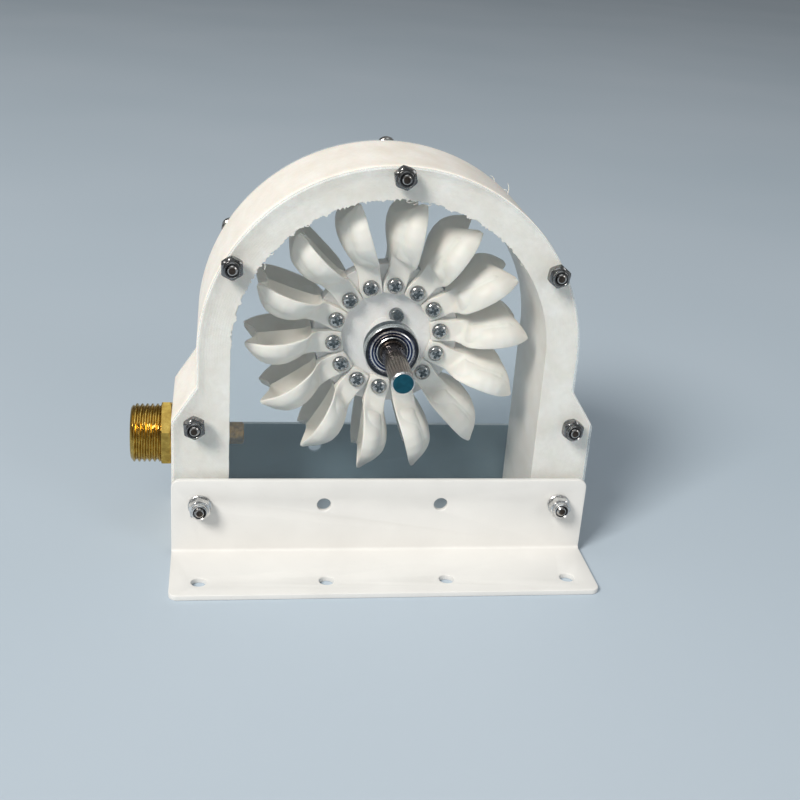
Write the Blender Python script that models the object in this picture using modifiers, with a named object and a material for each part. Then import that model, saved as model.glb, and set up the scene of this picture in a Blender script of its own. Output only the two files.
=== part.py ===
"""Miniature Pelton turbine unit.

A wheel of fourteen double-cup buckets turns on a through shaft. Ball bearings in two clear
panels carry the shaft. The panels are bolted to the front and rear of a printed arch housing,
which stands between two angle brackets. A brass inlet and nozzle enters the left leg.

Metres, X along the brackets, Y along the shaft (the front is -Y), Z up from the ground.
"""

import math

import bmesh
import bpy
from mathutils import Matrix, Vector

MM = 0.001

# General
UNIT_NAME = "pelton_turbine_unit"
GAP = 0.3 * MM  # between neighbouring pieces
JOIN_DEPTH = 0.5 * MM  # overlap of shapes that one piece is made of
CUT_MARGIN = 1.0 * MM  # how far a cutter passes the face it cuts
WELD_DISTANCE = 0.001 * MM
SHARP_ANGLE = math.radians(30.0)

# Overall layout
BRACKET_LENGTH = 150.0 * MM
INLET_REACH = 89.9 * MM  # from the arch's middle to the inlet's open end
ARCH_X = (INLET_REACH - BRACKET_LENGTH / 2) / 2
ARCH_Z = 75.6 * MM
SHAFT_Z = ARCH_Z + 2.25 * MM

# Printed housing
HOUSING_DEPTH = 40.0 * MM
ARCH_OUTER_RADIUS = 66.5 * MM
ARCH_INNER_RADIUS = 55.0 * MM
SHOULDER_TOP = 12.0 * MM  # below the arch's middle
SHOULDER_BOTTOM = 25.0 * MM
LEG_HALF_SPAN = 75.0 * MM
LEG_CLEARANCE = 0.5 * MM  # under the legs
ARC_STEP = math.radians(4.5)

# Clear panels
PANEL_THICKNESS = 2.5 * MM
PANEL_INSET = 0.3 * MM  # the panel's edge lies this far inside the housing's
PANEL_REAR = HOUSING_DEPTH / 2 + GAP
PANEL_FRONT = PANEL_REAR + PANEL_THICKNESS

# Ball bearings, 8 x 19 x 6
BEARING_BORE = 8.0 * MM
BEARING_DIAMETER = 19.0 * MM
BEARING_WIDTH = 6.0 * MM
BEARING_RECESS = 0.8 * MM  # behind the panel's outer face
BEARING_SEGMENTS = 32
SEAT_SEGMENTS = 40
OUTER_RING_WALL = 1.6 * MM
INNER_RING_RADIUS = 5.5 * MM
SHIELD_THICKNESS = 0.6 * MM
SHIELD_STEP = 0.3 * MM

# Shaft
SHAFT_DIAMETER = 8.0 * MM
SHAFT_FRONT = 50.0 * MM
SHAFT_REAR = 25.0 * MM
SHAFT_CHAMFER = 0.5 * MM
SHAFT_SEGMENTS = 32

# Wheel
BUCKET_COUNT = 14
FIRST_BUCKET_ANGLE = math.radians(136.15)
HUB_RADIUS = 26.0 * MM
HUB_THICKNESS = 6.5 * MM
HUB_SEGMENTS = 40
SPACER_RADIUS = 6.5 * MM
SPACER_SEGMENTS = 20

# Bucket, in its own frame: X outward along the spoke, Y towards the open side, Z along the shaft
PRONG_THICKNESS = 2.8 * MM
PRONG_FACE = HUB_THICKNESS / 2 + GAP + PRONG_THICKNESS
PRONG_OUTLINE = [
    (15.9 * MM, -3.45 * MM),
    (18.9 * MM, -4.1 * MM),
    (22.5 * MM, -3.2 * MM),
    (28.0 * MM, -3.0 * MM),
    (28.0 * MM, 4.6 * MM),
    (22.5 * MM, 4.5 * MM),
    (18.9 * MM, 4.1 * MM),
    (15.9 * MM, 3.45 * MM),
]
ROOT_REACH = 27.0 * MM
TIP_REACH = 50.05 * MM
NOTCH_REACH = 46.5 * MM
DEEPEST_REACH = 39.5 * MM
CUP_START = 28.5 * MM
RIM_HEIGHT = 5.0 * MM
SPLITTER_DROP = 0.6 * MM
CUP_HALF_WIDTH = 14.0 * MM
TIP_HALF_WIDTH = 9.8 * MM
BACK_DEPTH = 10.8 * MM  # from the rim to the deepest point of the back
ROOT_DEPTH = 8.0 * MM
ROOT_LENGTH = 13.5 * MM  # of the back's curve, from the deepest point inward
TIP_LENGTH = 10.6 * MM  # of the back's curve, from the deepest point outward
CUP_WALL = 1.5 * MM
TIP_SQUARENESS = 2.4  # exponent of the cross-section, 2 for an ellipse and more for a box
ROOT_SQUARENESS = 8.4
SQUARENESS_FADE = 4  # higher powers keep the root's shape to the root
NOTCH_FADE = 4
LIP_FADE = 6
CUP_FLANK = 0.8  # below 1 the cup's sides are steeper
CUP_HEEL = 0.8
CUP_TOE = 0.5
BUCKET_STATIONS = 8
BUCKET_STEPS = 8

# Angle brackets
SHEET = 2.0 * MM
FLANGE_HEIGHT = 30.0 * MM
FOOT_LENGTH = 31.6 * MM
BEND_OUTER_RADIUS = 3.0 * MM
BEND_STEPS = 4
CORNER_RADIUS = 3.0 * MM
CORNER_STEPS = 3
BRACKET_HOLE_X = (65.0 * MM, 21.2 * MM)
FLANGE_HOLE_Z = ARCH_Z - 55.3 * MM
FOOT_HOLE_Y = 23.1 * MM  # from the flange's inner face
FLANGE_HOLE_RADIUS = 2.5 * MM
FOOT_HOLE_RADIUS = 2.65 * MM
HOLE_SEGMENTS = 16

# M4 bolts with lock nuts in front and cap heads behind
BOLT_RADIUS = 1.95 * MM
BOLT_HOLE_RADIUS = BOLT_RADIUS + GAP
BOLT_CIRCLE = 63.4 * MM
LOWER_BOLT_X = 67.0 * MM
LOWER_BOLT_Z = ARCH_Z - 25.6 * MM
NUT_ACROSS_FLATS = 7.0 * MM
NUT_HEX_HEIGHT = 3.4 * MM
NUT_HEIGHT = 5.0 * MM
NUT_COLLAR_RADIUS = 2.9 * MM
BOLT_END = 0.4 * MM
HEAD_RADIUS = 3.5 * MM
HEAD_HEIGHT = 4.0 * MM
BOLT_SEGMENTS = 12

# Brass inlet and nozzle
INLET_Z = ARCH_Z - 38.8 * MM
THREAD_RADIUS = 10.48 * MM
THREAD_CHAMFER = 0.8 * MM
INLET_SEGMENTS = 28
HEX_ACROSS_FLATS = 22.0 * MM
HEX_LENGTH = 4.0 * MM
HEX_TURN = math.radians(24.0)
BODY_RADIUS = 7.0 * MM
BODY_END = 57.3 * MM  # from the arch's middle, as are the next reaches
NOZZLE_RADIUS = 4.1 * MM
NOZZLE_END = 49.5 * MM
INLET_BORE_RADIUS = 7.5 * MM
INLET_BORE_END = 81.5 * MM
THROAT_RADIUS = 5.0 * MM
THROAT_START = 79.0 * MM
THROAT_END = 60.0 * MM
JET_RADIUS = 2.0 * MM
JET_START = 55.5 * MM

# Base colour, roughness, metallic and transmission of each material
FINISHES = {
    "printed_white": ((0.86, 0.85, 0.80, 1.0), 0.55, 0.0, 0.0),
    "painted_white": ((0.85, 0.86, 0.87, 1.0), 0.35, 0.0, 0.0),
    "bucket_white": ((0.88, 0.86, 0.80, 1.0), 0.40, 0.0, 0.0),
    "clear_acrylic": ((0.95, 0.97, 0.98, 1.0), 0.05, 0.0, 1.0),
    "bright_steel": ((0.62, 0.62, 0.62, 1.0), 0.18, 1.0, 0.0),
    "bearing_steel": ((0.45, 0.46, 0.48, 1.0), 0.22, 1.0, 0.0),
    "brass": ((0.80, 0.56, 0.20, 1.0), 0.25, 1.0, 0.0),
}

FRONT_FACING = Matrix.Rotation(math.radians(90.0), 4, "X")  # local Z becomes -Y
LEFT_FACING = Matrix.Rotation(math.radians(-90.0), 4, "Y")  # local Z becomes -X


def clear_scene():
    for old in list(bpy.data.objects):
        bpy.data.objects.remove(old, do_unlink=True)


def make_collection(name):
    collection = bpy.data.collections.new(name)
    bpy.context.scene.collection.children.link(collection)
    return collection


def finish(node, kind):
    """A material of the node's own, in the finish that its kind has."""
    colour, roughness, metallic, transmission = FINISHES[kind]
    material = bpy.data.materials.new(node.name + "_finish")
    material.use_nodes = True
    shader = material.node_tree.nodes["Principled BSDF"]
    shader.inputs["Base Color"].default_value = colour
    shader.inputs["Roughness"].default_value = roughness
    shader.inputs["Metallic"].default_value = metallic
    shader.inputs["Transmission Weight"].default_value = transmission
    node.active_material = material


def add_object(name, mesh, collection, matrix=None, parent=None):
    node = bpy.data.objects.new(name, mesh)
    collection.objects.link(node)
    if parent is not None:
        node.parent = parent
    node.matrix_world = matrix or Matrix.Identity(4)
    return node


def add_tool(name, mesh, matrix=None):
    """A shape that cuts or joins another one and isn't a piece itself."""
    tool = add_object(name, mesh, tools, matrix)
    tool.hide_render = True
    tool.display_type = "WIRE"
    return tool


def combine(node, tool, operation):
    boolean = node.modifiers.new(operation.lower(), "BOOLEAN")
    boolean.operation = operation
    boolean.object = tool
    boolean.solver = "EXACT"


def evaluated_mesh(node):
    """The node's mesh with its modifiers or curve settings applied, and loose caps welded."""
    bpy.context.view_layer.update()
    graph = bpy.context.evaluated_depsgraph_get()
    mesh = bpy.data.meshes.new_from_object(node.evaluated_get(graph))
    bm = bmesh.new()
    bm.from_mesh(mesh)
    bmesh.ops.remove_doubles(bm, verts=bm.verts, dist=WELD_DISTANCE)
    bm.to_mesh(mesh)
    bm.free()
    return mesh


def shade(mesh):
    mesh.shade_smooth()
    mesh.set_sharp_from_angle(angle=SHARP_ANGLE)


def outline_mesh(name, outline, thickness):
    """A flat outline in XY, filled and given a thickness along Z, centred on it."""
    curve = bpy.data.curves.new(name, "CURVE")
    curve.dimensions = "2D"
    curve.fill_mode = "BOTH"
    curve.extrude = thickness / 2
    spline = curve.splines.new("POLY")
    spline.points.add(len(outline) - 1)
    for point, (x, y) in zip(spline.points, outline):
        point.co = (x, y, 0.0, 1.0)
    spline.use_cyclic_u = True
    source = add_object(name + "_outline", curve, tools)
    mesh = evaluated_mesh(source)
    bpy.data.objects.remove(source, do_unlink=True)
    mesh.name = name
    return mesh


def turned_mesh(name, profile, segments, ring=False):
    """A profile of (radius, height) points turned about Z; a ring's profile closes on itself."""
    count = len(profile)
    edges = [(i, i + 1) for i in range(count - 1)]
    if ring:
        edges.append((count - 1, 0))
    mesh = bpy.data.meshes.new(name)
    mesh.from_pydata([(radius, 0.0, height) for radius, height in profile], edges, [])
    source = add_object(name + "_profile", mesh, tools)
    screw = source.modifiers.new("turn", "SCREW")
    screw.angle = math.radians(360.0)
    screw.steps = segments
    screw.render_steps = segments
    screw.use_merge_vertices = True
    screw.merge_threshold = WELD_DISTANCE
    turned = evaluated_mesh(source)
    bpy.data.objects.remove(source, do_unlink=True)
    turned.name = name
    shade(turned)
    return turned


def cylinders_mesh(name, centres, radius, length, direction, segments=BOLT_SEGMENTS):
    """Equal cylinders that lie along Y or X, each with its middle at one of the centres."""
    bm = bmesh.new()
    for centre in centres:
        bmesh.ops.create_cone(
            bm,
            cap_ends=True,
            segments=segments,
            radius1=radius,
            radius2=radius,
            depth=length,
            matrix=Matrix.Translation(centre) @ direction,
        )
    mesh = bpy.data.meshes.new(name)
    bm.to_mesh(mesh)
    bm.free()
    return mesh


def hex_mesh(name, across_flats, length, start, turn=0.0):
    """A hexagonal prism along Z from the height start."""
    bm = bmesh.new()
    radius = across_flats / 2 / math.cos(math.radians(30.0))
    bmesh.ops.create_cone(
        bm,
        cap_ends=True,
        segments=6,
        radius1=radius,
        radius2=radius,
        depth=length,
        matrix=Matrix.Translation((0.0, 0.0, start + length / 2)) @ Matrix.Rotation(turn, 4, "Z"),
    )
    mesh = bpy.data.meshes.new(name)
    bm.to_mesh(mesh)
    bm.free()
    return mesh


def arc(radius, start, end):
    """Points on a circle about the arch's middle, from one angle to another."""
    steps = max(1, round(abs(end - start) / ARC_STEP))
    angles = [start + (end - start) * i / steps for i in range(steps + 1)]
    return [(radius * math.cos(a), radius * math.sin(a)) for a in angles]


def outer_outline(inset):
    """The housing's outer line from the right foot over the arch to the left foot."""
    foot = LEG_CLEARANCE - ARCH_Z
    leg = LEG_HALF_SPAN - inset
    radius = ARCH_OUTER_RADIUS - inset
    right = [(leg, foot), (leg, -SHOULDER_BOTTOM), (radius, -SHOULDER_TOP)]
    left = [(-x, z) for x, z in reversed(right)]
    return right + arc(radius, 0.0, math.pi) + left


def panel_bolts():
    """The x and z of the five bolts that hold both panels, by name."""
    places = {"bolt_top": 90.0, "bolt_upper_left": 150.0, "bolt_upper_right": 30.0}
    bolts = {}
    for name, angle in places.items():
        x = ARCH_X + BOLT_CIRCLE * math.cos(math.radians(angle))
        z = ARCH_Z + BOLT_CIRCLE * math.sin(math.radians(angle))
        bolts[name] = (x, z)
    bolts["bolt_lower_left"] = (ARCH_X - LOWER_BOLT_X, LOWER_BOLT_Z)
    bolts["bolt_lower_right"] = (ARCH_X + LOWER_BOLT_X, LOWER_BOLT_Z)
    return bolts


def bracket_bolts():
    """The x and z of the two bolts that also hold the brackets, by name."""
    return {
        "bolt_bracket_left": (ARCH_X - BRACKET_HOLE_X[0], FLANGE_HOLE_Z),
        "bolt_bracket_right": (ARCH_X + BRACKET_HOLE_X[0], FLANGE_HOLE_Z),
    }


def bolt_hole_tool():
    centres = [(x, 0.0, z) for x, z in {**panel_bolts(), **bracket_bolts()}.values()]
    length = 2 * (PANEL_FRONT + CUT_MARGIN)
    mesh = cylinders_mesh("bolt_holes", centres, BOLT_HOLE_RADIUS, length, FRONT_FACING)
    return add_tool("bolt_holes", mesh)


def bearing_seat_tool():
    length = 2 * (PANEL_FRONT + CUT_MARGIN)
    radius = BEARING_DIAMETER / 2 + GAP
    centres = [(ARCH_X, 0.0, SHAFT_Z)]
    mesh = cylinders_mesh("bearing_seats", centres, radius, length, FRONT_FACING, SEAT_SEGMENTS)
    return add_tool("bearing_seats", mesh)


def make_housing(holes):
    inner = arc(ARCH_INNER_RADIUS, math.pi, 0.0)
    foot = LEG_CLEARANCE - ARCH_Z
    inner_line = [(-ARCH_INNER_RADIUS, foot)] + inner + [(ARCH_INNER_RADIUS, foot)]
    mesh = outline_mesh("housing", outer_outline(0.0) + inner_line, HOUSING_DEPTH)
    place = Matrix.Translation((ARCH_X, 0.0, ARCH_Z)) @ FRONT_FACING
    housing = add_object("housing", mesh, parts, place)
    combine(housing, holes, "DIFFERENCE")
    combine(housing, inlet_passage_tool(), "DIFFERENCE")
    finish(housing, "printed_white")


def inlet_passage_tool():
    """The stepped hole through the left leg that the inlet fills."""
    outer_end = LEG_HALF_SPAN + CUT_MARGIN
    inner_end = ARCH_INNER_RADIUS - CUT_MARGIN
    step = BODY_END - GAP
    wide = BODY_RADIUS + GAP
    narrow = NOZZLE_RADIUS + GAP
    profile = [
        (0.0, outer_end),
        (wide, outer_end),
        (wide, step),
        (narrow, step),
        (narrow, inner_end),
        (0.0, inner_end),
    ]
    mesh = turned_mesh("inlet_passage", profile, INLET_SEGMENTS)
    return add_tool("inlet_passage", mesh, Matrix.Translation((ARCH_X, 0.0, INLET_Z)) @ LEFT_FACING)


def make_panel(name, side, holes, bearing_seat):
    """side is -1 in front and +1 behind."""
    mesh = outline_mesh(name, outer_outline(PANEL_INSET), PANEL_THICKNESS)
    middle = side * (PANEL_REAR + PANEL_THICKNESS / 2)
    place = Matrix.Translation((ARCH_X, middle, ARCH_Z)) @ FRONT_FACING
    panel = add_object(name, mesh, parts, place)
    combine(panel, holes, "DIFFERENCE")
    combine(panel, bearing_seat, "DIFFERENCE")
    finish(panel, "clear_acrylic")


def make_bearing(side_name, side, wheel):
    """The outer ring carries both shields; the inner ring turns with the shaft."""
    outer = BEARING_DIAMETER / 2
    race = outer - OUTER_RING_WALL
    lip = INNER_RING_RADIUS + SHIELD_STEP
    half = BEARING_WIDTH / 2
    shield = half - SHIELD_THICKNESS
    outer_profile = [
        (outer, half),
        (outer, -half),
        (lip, -half),
        (lip, -shield),
        (race, -shield),
        (race, shield),
        (lip, shield),
        (lip, half),
    ]
    bore = BEARING_BORE / 2 + GAP
    inner_profile = [
        (INNER_RING_RADIUS, half),
        (INNER_RING_RADIUS, -half),
        (bore, -half),
        (bore, half),
    ]
    middle = side * (PANEL_FRONT - BEARING_RECESS - half)
    place = Matrix.Translation((ARCH_X, middle, SHAFT_Z)) @ FRONT_FACING
    name = side_name + "_bearing_outer"
    outer_mesh = turned_mesh(name, outer_profile, BEARING_SEGMENTS, ring=True)
    finish(add_object(name, outer_mesh, parts, place), "bearing_steel")
    name = side_name + "_bearing_inner"
    inner_mesh = turned_mesh(name, inner_profile, BEARING_SEGMENTS, ring=True)
    finish(add_object(name, inner_mesh, parts, place, wheel), "bearing_steel")


def make_shaft(wheel):
    radius = SHAFT_DIAMETER / 2
    shoulder = radius - SHAFT_CHAMFER
    profile = [
        (0.0, SHAFT_FRONT),
        (shoulder, SHAFT_FRONT),
        (radius, SHAFT_FRONT - SHAFT_CHAMFER),
        (radius, SHAFT_CHAMFER - SHAFT_REAR),
        (shoulder, -SHAFT_REAR),
        (0.0, -SHAFT_REAR),
    ]
    place = Matrix.Translation((ARCH_X, 0.0, SHAFT_Z)) @ FRONT_FACING
    mesh = turned_mesh("shaft", profile, SHAFT_SEGMENTS)
    finish(add_object("shaft", mesh, parts, place, wheel), "bright_steel")


def make_sleeve(name, outer, front, rear, kind, wheel, segments):
    """A plain ring on the shaft between two places along it, both given as y."""
    bore = SHAFT_DIAMETER / 2 + GAP
    half = (rear - front) / 2
    profile = [(outer, half), (outer, -half), (bore, -half), (bore, half)]
    place = Matrix.Translation((ARCH_X, (front + rear) / 2, SHAFT_Z)) @ FRONT_FACING
    ring = add_object(name, turned_mesh(name, profile, segments, ring=True), parts, place, wheel)
    finish(ring, kind)


def make_hub(wheel):
    half = HUB_THICKNESS / 2
    make_sleeve("wheel_hub", HUB_RADIUS, -half, half, "bucket_white", wheel, HUB_SEGMENTS)
    near = half + GAP
    far = PANEL_FRONT - BEARING_RECESS - BEARING_WIDTH - GAP
    for name, front, rear in (("front_spacer", -far, -near), ("rear_spacer", near, far)):
        make_sleeve(name, SPACER_RADIUS, front, rear, "printed_white", wheel, SPACER_SEGMENTS)


def half_width(reach):
    """Half the bucket's width at a distance from the shaft."""
    if reach >= DEEPEST_REACH:
        outward = (reach - DEEPEST_REACH) / (TIP_REACH - DEEPEST_REACH)
        return CUP_HALF_WIDTH - (CUP_HALF_WIDTH - TIP_HALF_WIDTH) * outward**2
    inward = (DEEPEST_REACH - reach) / (DEEPEST_REACH - ROOT_REACH)
    return CUP_HALF_WIDTH - (CUP_HALF_WIDTH - PRONG_FACE) * inward**2


def back_depth(reach):
    """Depth of the back below the rim at a distance from the shaft."""
    length = TIP_LENGTH if reach >= DEEPEST_REACH else ROOT_LENGTH
    along = (reach - DEEPEST_REACH) / length
    curve = BACK_DEPTH * math.sqrt(max(0.0, 1.0 - along**2))
    return curve if reach >= DEEPEST_REACH else max(curve, ROOT_DEPTH)


def cup_depth(reach):
    """Depth of the cup's floor below the rim at a distance from the shaft."""
    outward = reach >= DEEPEST_REACH
    end = TIP_REACH - CUP_WALL if outward else CUP_START
    along = min(1.0, abs((reach - DEEPEST_REACH) / (end - DEEPEST_REACH)))
    floor = BACK_DEPTH - CUP_WALL
    return floor * (1.0 - along**2) ** (CUP_TOE if outward else CUP_HEEL)


def bucket_section(share):
    """The cup side and the back of one cross-section, share 0 at the root and 1 at the tip."""
    reach = ROOT_REACH + share * (TIP_REACH - ROOT_REACH)
    outer_half = half_width(reach)
    inner_half = outer_half - CUP_WALL
    rootward = (1.0 - share) ** SQUARENESS_FADE
    power = 2.0 / (TIP_SQUARENESS + (ROOT_SQUARENESS - TIP_SQUARENESS) * rootward)
    cup, back = [], []
    for step in range(BUCKET_STEPS + 1):
        across = math.pi * step / BUCKET_STEPS
        width = -math.copysign(abs(math.cos(across)) ** power, math.cos(across))
        notch = (TIP_REACH - NOTCH_REACH) * (1.0 - abs(width)) * share**NOTCH_FADE
        height = RIM_HEIGHT - back_depth(reach) * math.sin(across) ** power
        back.append(Vector((reach - notch, height, outer_half * width)))
        side = 1.0 - 2.0 * step / BUCKET_STEPS
        in_cup = math.pi * (1.0 - abs(side))
        width = -math.copysign((1.0 + math.cos(in_cup)) / 2, side)
        notch = (TIP_REACH - NOTCH_REACH) * (1.0 - abs(width)) * share**NOTCH_FADE
        fall = cup_depth(reach) * max(0.0, math.sin(in_cup)) ** CUP_FLANK
        ridge = SPLITTER_DROP * (1.0 - abs(width))
        inner_reach = reach - notch - CUP_WALL * share**LIP_FADE
        cup.append(Vector((inner_reach, RIM_HEIGHT - max(fall, ridge), inner_half * width)))
    return cup, back


def bucket_body_mesh():
    """The double cup, lofted from the root to the tip as one closed skin."""
    bm = bmesh.new()
    rings = []
    for station in range(BUCKET_STATIONS + 1):
        share = math.sin(math.pi / 2 * station / BUCKET_STATIONS)
        cup, back = bucket_section(share)
        rings.append([bm.verts.new(co) for co in cup + back[::-1]])
    count = len(rings[0])
    for near, far in zip(rings, rings[1:]):
        for i in range(count):
            j = (i + 1) % count
            bm.faces.new((near[i], near[j], far[j], far[i]))
    for ring in (rings[0], rings[-1]):
        for i in range(BUCKET_STEPS):
            bm.faces.new((ring[i], ring[i + 1], ring[count - 2 - i], ring[count - 1 - i]))
    bmesh.ops.recalc_face_normals(bm, faces=bm.faces)
    mesh = bpy.data.meshes.new("bucket_body")
    bm.to_mesh(mesh)
    bm.free()
    return mesh


def hub_slot_tool():
    """The space that the hub's disc takes up between the prongs."""
    thickness = HUB_THICKNESS + 2 * GAP
    middle = [(0.0, 0.0, 0.0)]
    flat = Matrix.Identity(4)
    mesh = cylinders_mesh("hub_slot", middle, HUB_RADIUS + GAP, thickness, flat, HUB_SEGMENTS)
    return add_tool("hub_slot", mesh)


def bucket_mesh():
    """The double cup with the two prongs that straddle the hub."""
    body = add_tool("bucket_body", bucket_body_mesh())
    stem = add_tool("bucket_stem", outline_mesh("bucket_stem", PRONG_OUTLINE, 2 * PRONG_FACE))
    combine(body, stem, "UNION")
    combine(body, hub_slot_tool(), "DIFFERENCE")
    mesh = evaluated_mesh(body)
    mesh.name = "bucket"
    shade(mesh)
    return mesh


def make_buckets(wheel):
    mesh = bucket_mesh()
    for index in range(BUCKET_COUNT):
        angle = FIRST_BUCKET_ANGLE - index * 2 * math.pi / BUCKET_COUNT
        outward = Vector((math.cos(angle), 0.0, math.sin(angle)))
        open_side = Vector((math.sin(angle), 0.0, -math.cos(angle)))
        along_shaft = outward.cross(open_side)
        place = Matrix((outward, open_side, along_shaft)).transposed().to_4x4()
        place.translation = (ARCH_X, 0.0, SHAFT_Z)
        bucket = add_object(f"bucket_{index + 1:02d}", mesh.copy(), parts, place, wheel)
        finish(bucket, "bucket_white")


def bracket_outline():
    """The angle's section: X away from the panel, Y up."""
    turns = [math.pi + math.pi / 2 * i / BEND_STEPS for i in range(BEND_STEPS + 1)]
    outer, inner = [], []
    for turn in turns:
        for bend, radius in ((outer, BEND_OUTER_RADIUS), (inner, BEND_OUTER_RADIUS - SHEET)):
            x = BEND_OUTER_RADIUS + radius * math.cos(turn)
            y = BEND_OUTER_RADIUS + radius * math.sin(turn)
            bend.append((x, y))
    foot_end = [(FOOT_LENGTH, 0.0), (FOOT_LENGTH, SHEET)]
    flange_top = [(SHEET, FLANGE_HEIGHT), (0.0, FLANGE_HEIGHT)]
    return outer + foot_end + inner[::-1] + flange_top


def bracket_mesh():
    """One angle bracket along Z, its four sheet corners rounded."""
    mesh = outline_mesh("bracket", bracket_outline(), BRACKET_LENGTH)
    bm = bmesh.new()
    bm.from_mesh(mesh)
    weight = bm.edges.layers.float.new("bevel_weight_edge")
    for edge in bm.edges:
        ends = [vert.co for vert in edge.verts]
        across_sheet = all(abs(abs(co.z) - BRACKET_LENGTH / 2) < GAP for co in ends)
        at_foot = all(abs(co.x - FOOT_LENGTH) < GAP for co in ends)
        at_top = all(abs(co.y - FLANGE_HEIGHT) < GAP for co in ends)
        if across_sheet and ends[0].z * ends[1].z > 0 and (at_foot or at_top):
            edge[weight] = 1.0
    bm.to_mesh(mesh)
    bm.free()
    return mesh


def bracket_hole_tools(name, side):
    """The cutters of the flange's holes and of the foot's holes."""
    flange_y = side * (PANEL_FRONT + GAP + SHEET / 2)
    foot_y = side * (PANEL_FRONT + GAP + FOOT_HOLE_Y)
    xs = [ARCH_X + sign * x for x in BRACKET_HOLE_X for sign in (-1.0, 1.0)]
    rows = {
        "_flange_holes": (flange_y, FLANGE_HOLE_Z, FLANGE_HOLE_RADIUS, FRONT_FACING),
        "_foot_holes": (foot_y, SHEET / 2, FOOT_HOLE_RADIUS, Matrix.Identity(4)),
    }
    length = SHEET + 2 * CUT_MARGIN
    cutters = []
    for ending, (y, z, radius, direction) in rows.items():
        centres = [(x, y, z) for x in xs]
        mesh = cylinders_mesh(name + ending, centres, radius, length, direction, HOLE_SEGMENTS)
        cutters.append(add_tool(name + ending, mesh))
    return cutters


def make_bracket(name, side):
    """side is -1 in front and +1 behind."""
    away = Vector((0.0, side, 0.0))
    up = Vector((0.0, 0.0, 1.0))
    place = Matrix((away, up, away.cross(up))).transposed().to_4x4()
    place.translation = (ARCH_X, side * (PANEL_FRONT + GAP), 0.0)
    bracket = add_object(name, bracket_mesh(), parts, place)
    corners = bracket.modifiers.new("corners", "BEVEL")
    corners.limit_method = "WEIGHT"
    corners.width = CORNER_RADIUS
    corners.segments = CORNER_STEPS
    for cutter in bracket_hole_tools(name, side):
        combine(bracket, cutter, "DIFFERENCE")
    finish(bracket, "painted_white")


def bolt_mesh(name, seat):
    """A bolt along Z with its nut: seat is how far the clamped faces lie from the middle."""
    nut_face = seat + GAP
    end = nut_face + NUT_HEIGHT + BOLT_END
    profile = [
        (0.0, end),
        (BOLT_RADIUS, end),
        (BOLT_RADIUS, nut_face + NUT_HEIGHT),
        (NUT_COLLAR_RADIUS, nut_face + NUT_HEIGHT),
        (NUT_COLLAR_RADIUS, nut_face + JOIN_DEPTH),
        (BOLT_RADIUS, nut_face + JOIN_DEPTH),
        (BOLT_RADIUS, -nut_face),
        (HEAD_RADIUS, -nut_face),
        (HEAD_RADIUS, -nut_face - HEAD_HEIGHT),
        (0.0, -nut_face - HEAD_HEIGHT),
    ]
    body = add_tool(name + "_body", turned_mesh(name, profile, BOLT_SEGMENTS))
    nut = add_tool(name + "_nut", hex_mesh(name + "_nut", NUT_ACROSS_FLATS, NUT_HEX_HEIGHT, nut_face))
    combine(body, nut, "UNION")
    mesh = evaluated_mesh(body)
    shade(mesh)
    return mesh


def make_bolts():
    groups = ((panel_bolts(), PANEL_FRONT), (bracket_bolts(), PANEL_FRONT + GAP + SHEET))
    for bolts, seat in groups:
        mesh = bolt_mesh("bolt", seat)
        for name, (x, z) in bolts.items():
            place = Matrix.Translation((x, 0.0, z)) @ FRONT_FACING
            finish(add_object(name, mesh.copy(), parts, place), "bright_steel")


def make_inlet():
    hex_start = LEG_HALF_SPAN + GAP
    profile = [
        (THREAD_RADIUS - THREAD_CHAMFER, INLET_REACH),
        (THREAD_RADIUS, INLET_REACH - THREAD_CHAMFER),
        (THREAD_RADIUS, hex_start + JOIN_DEPTH),
        (BODY_RADIUS, hex_start + JOIN_DEPTH),
        (BODY_RADIUS, BODY_END),
        (NOZZLE_RADIUS, BODY_END),
        (NOZZLE_RADIUS, NOZZLE_END),
        (JET_RADIUS, NOZZLE_END),
        (JET_RADIUS, JET_START),
        (THROAT_RADIUS, THROAT_END),
        (THROAT_RADIUS, THROAT_START),
        (INLET_BORE_RADIUS, INLET_BORE_END),
        (INLET_BORE_RADIUS, INLET_REACH),
    ]
    place = Matrix.Translation((ARCH_X, 0.0, INLET_Z)) @ LEFT_FACING
    mesh = turned_mesh("inlet_nozzle", profile, INLET_SEGMENTS, ring=True)
    inlet = add_object("inlet_nozzle", mesh, parts, place)
    combine(inlet, inlet_hex_tool(hex_start, place), "UNION")
    finish(inlet, "brass")


def inlet_hex_tool(start, place):
    """The hexagon as a ring around the throat, so that it doesn't close the bore."""
    collar_mesh = hex_mesh("inlet_hex", HEX_ACROSS_FLATS, HEX_LENGTH, start, HEX_TURN)
    collar = add_tool("inlet_hex", collar_mesh, place)
    bore_mesh = cylinders_mesh(
        "inlet_hex_bore",
        [(0.0, 0.0, start + HEX_LENGTH / 2)],
        BODY_RADIUS - JOIN_DEPTH,
        HEX_LENGTH + 2 * CUT_MARGIN,
        Matrix.Identity(4),
        INLET_SEGMENTS,
    )
    combine(collar, add_tool("inlet_hex_bore", bore_mesh, place), "DIFFERENCE")
    return collar


def make_wheel_axis():
    axis = bpy.data.objects.new("wheel_axis", None)
    axis.location = (ARCH_X, 0.0, SHAFT_Z)
    parts.objects.link(axis)
    bpy.context.view_layer.update()
    return axis


def main():
    holes = bolt_hole_tool()
    bearing_seat = bearing_seat_tool()
    wheel = make_wheel_axis()
    make_housing(holes)
    make_inlet()
    make_bolts()
    make_shaft(wheel)
    make_hub(wheel)
    make_buckets(wheel)
    for side_name, side in (("front", -1.0), ("rear", 1.0)):
        make_panel(side_name + "_panel", side, holes, bearing_seat)
        make_bearing(side_name, side, wheel)
        make_bracket(side_name + "_bracket", side)


clear_scene()
parts = make_collection(UNIT_NAME)
tools = make_collection("cutters")
main()
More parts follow.
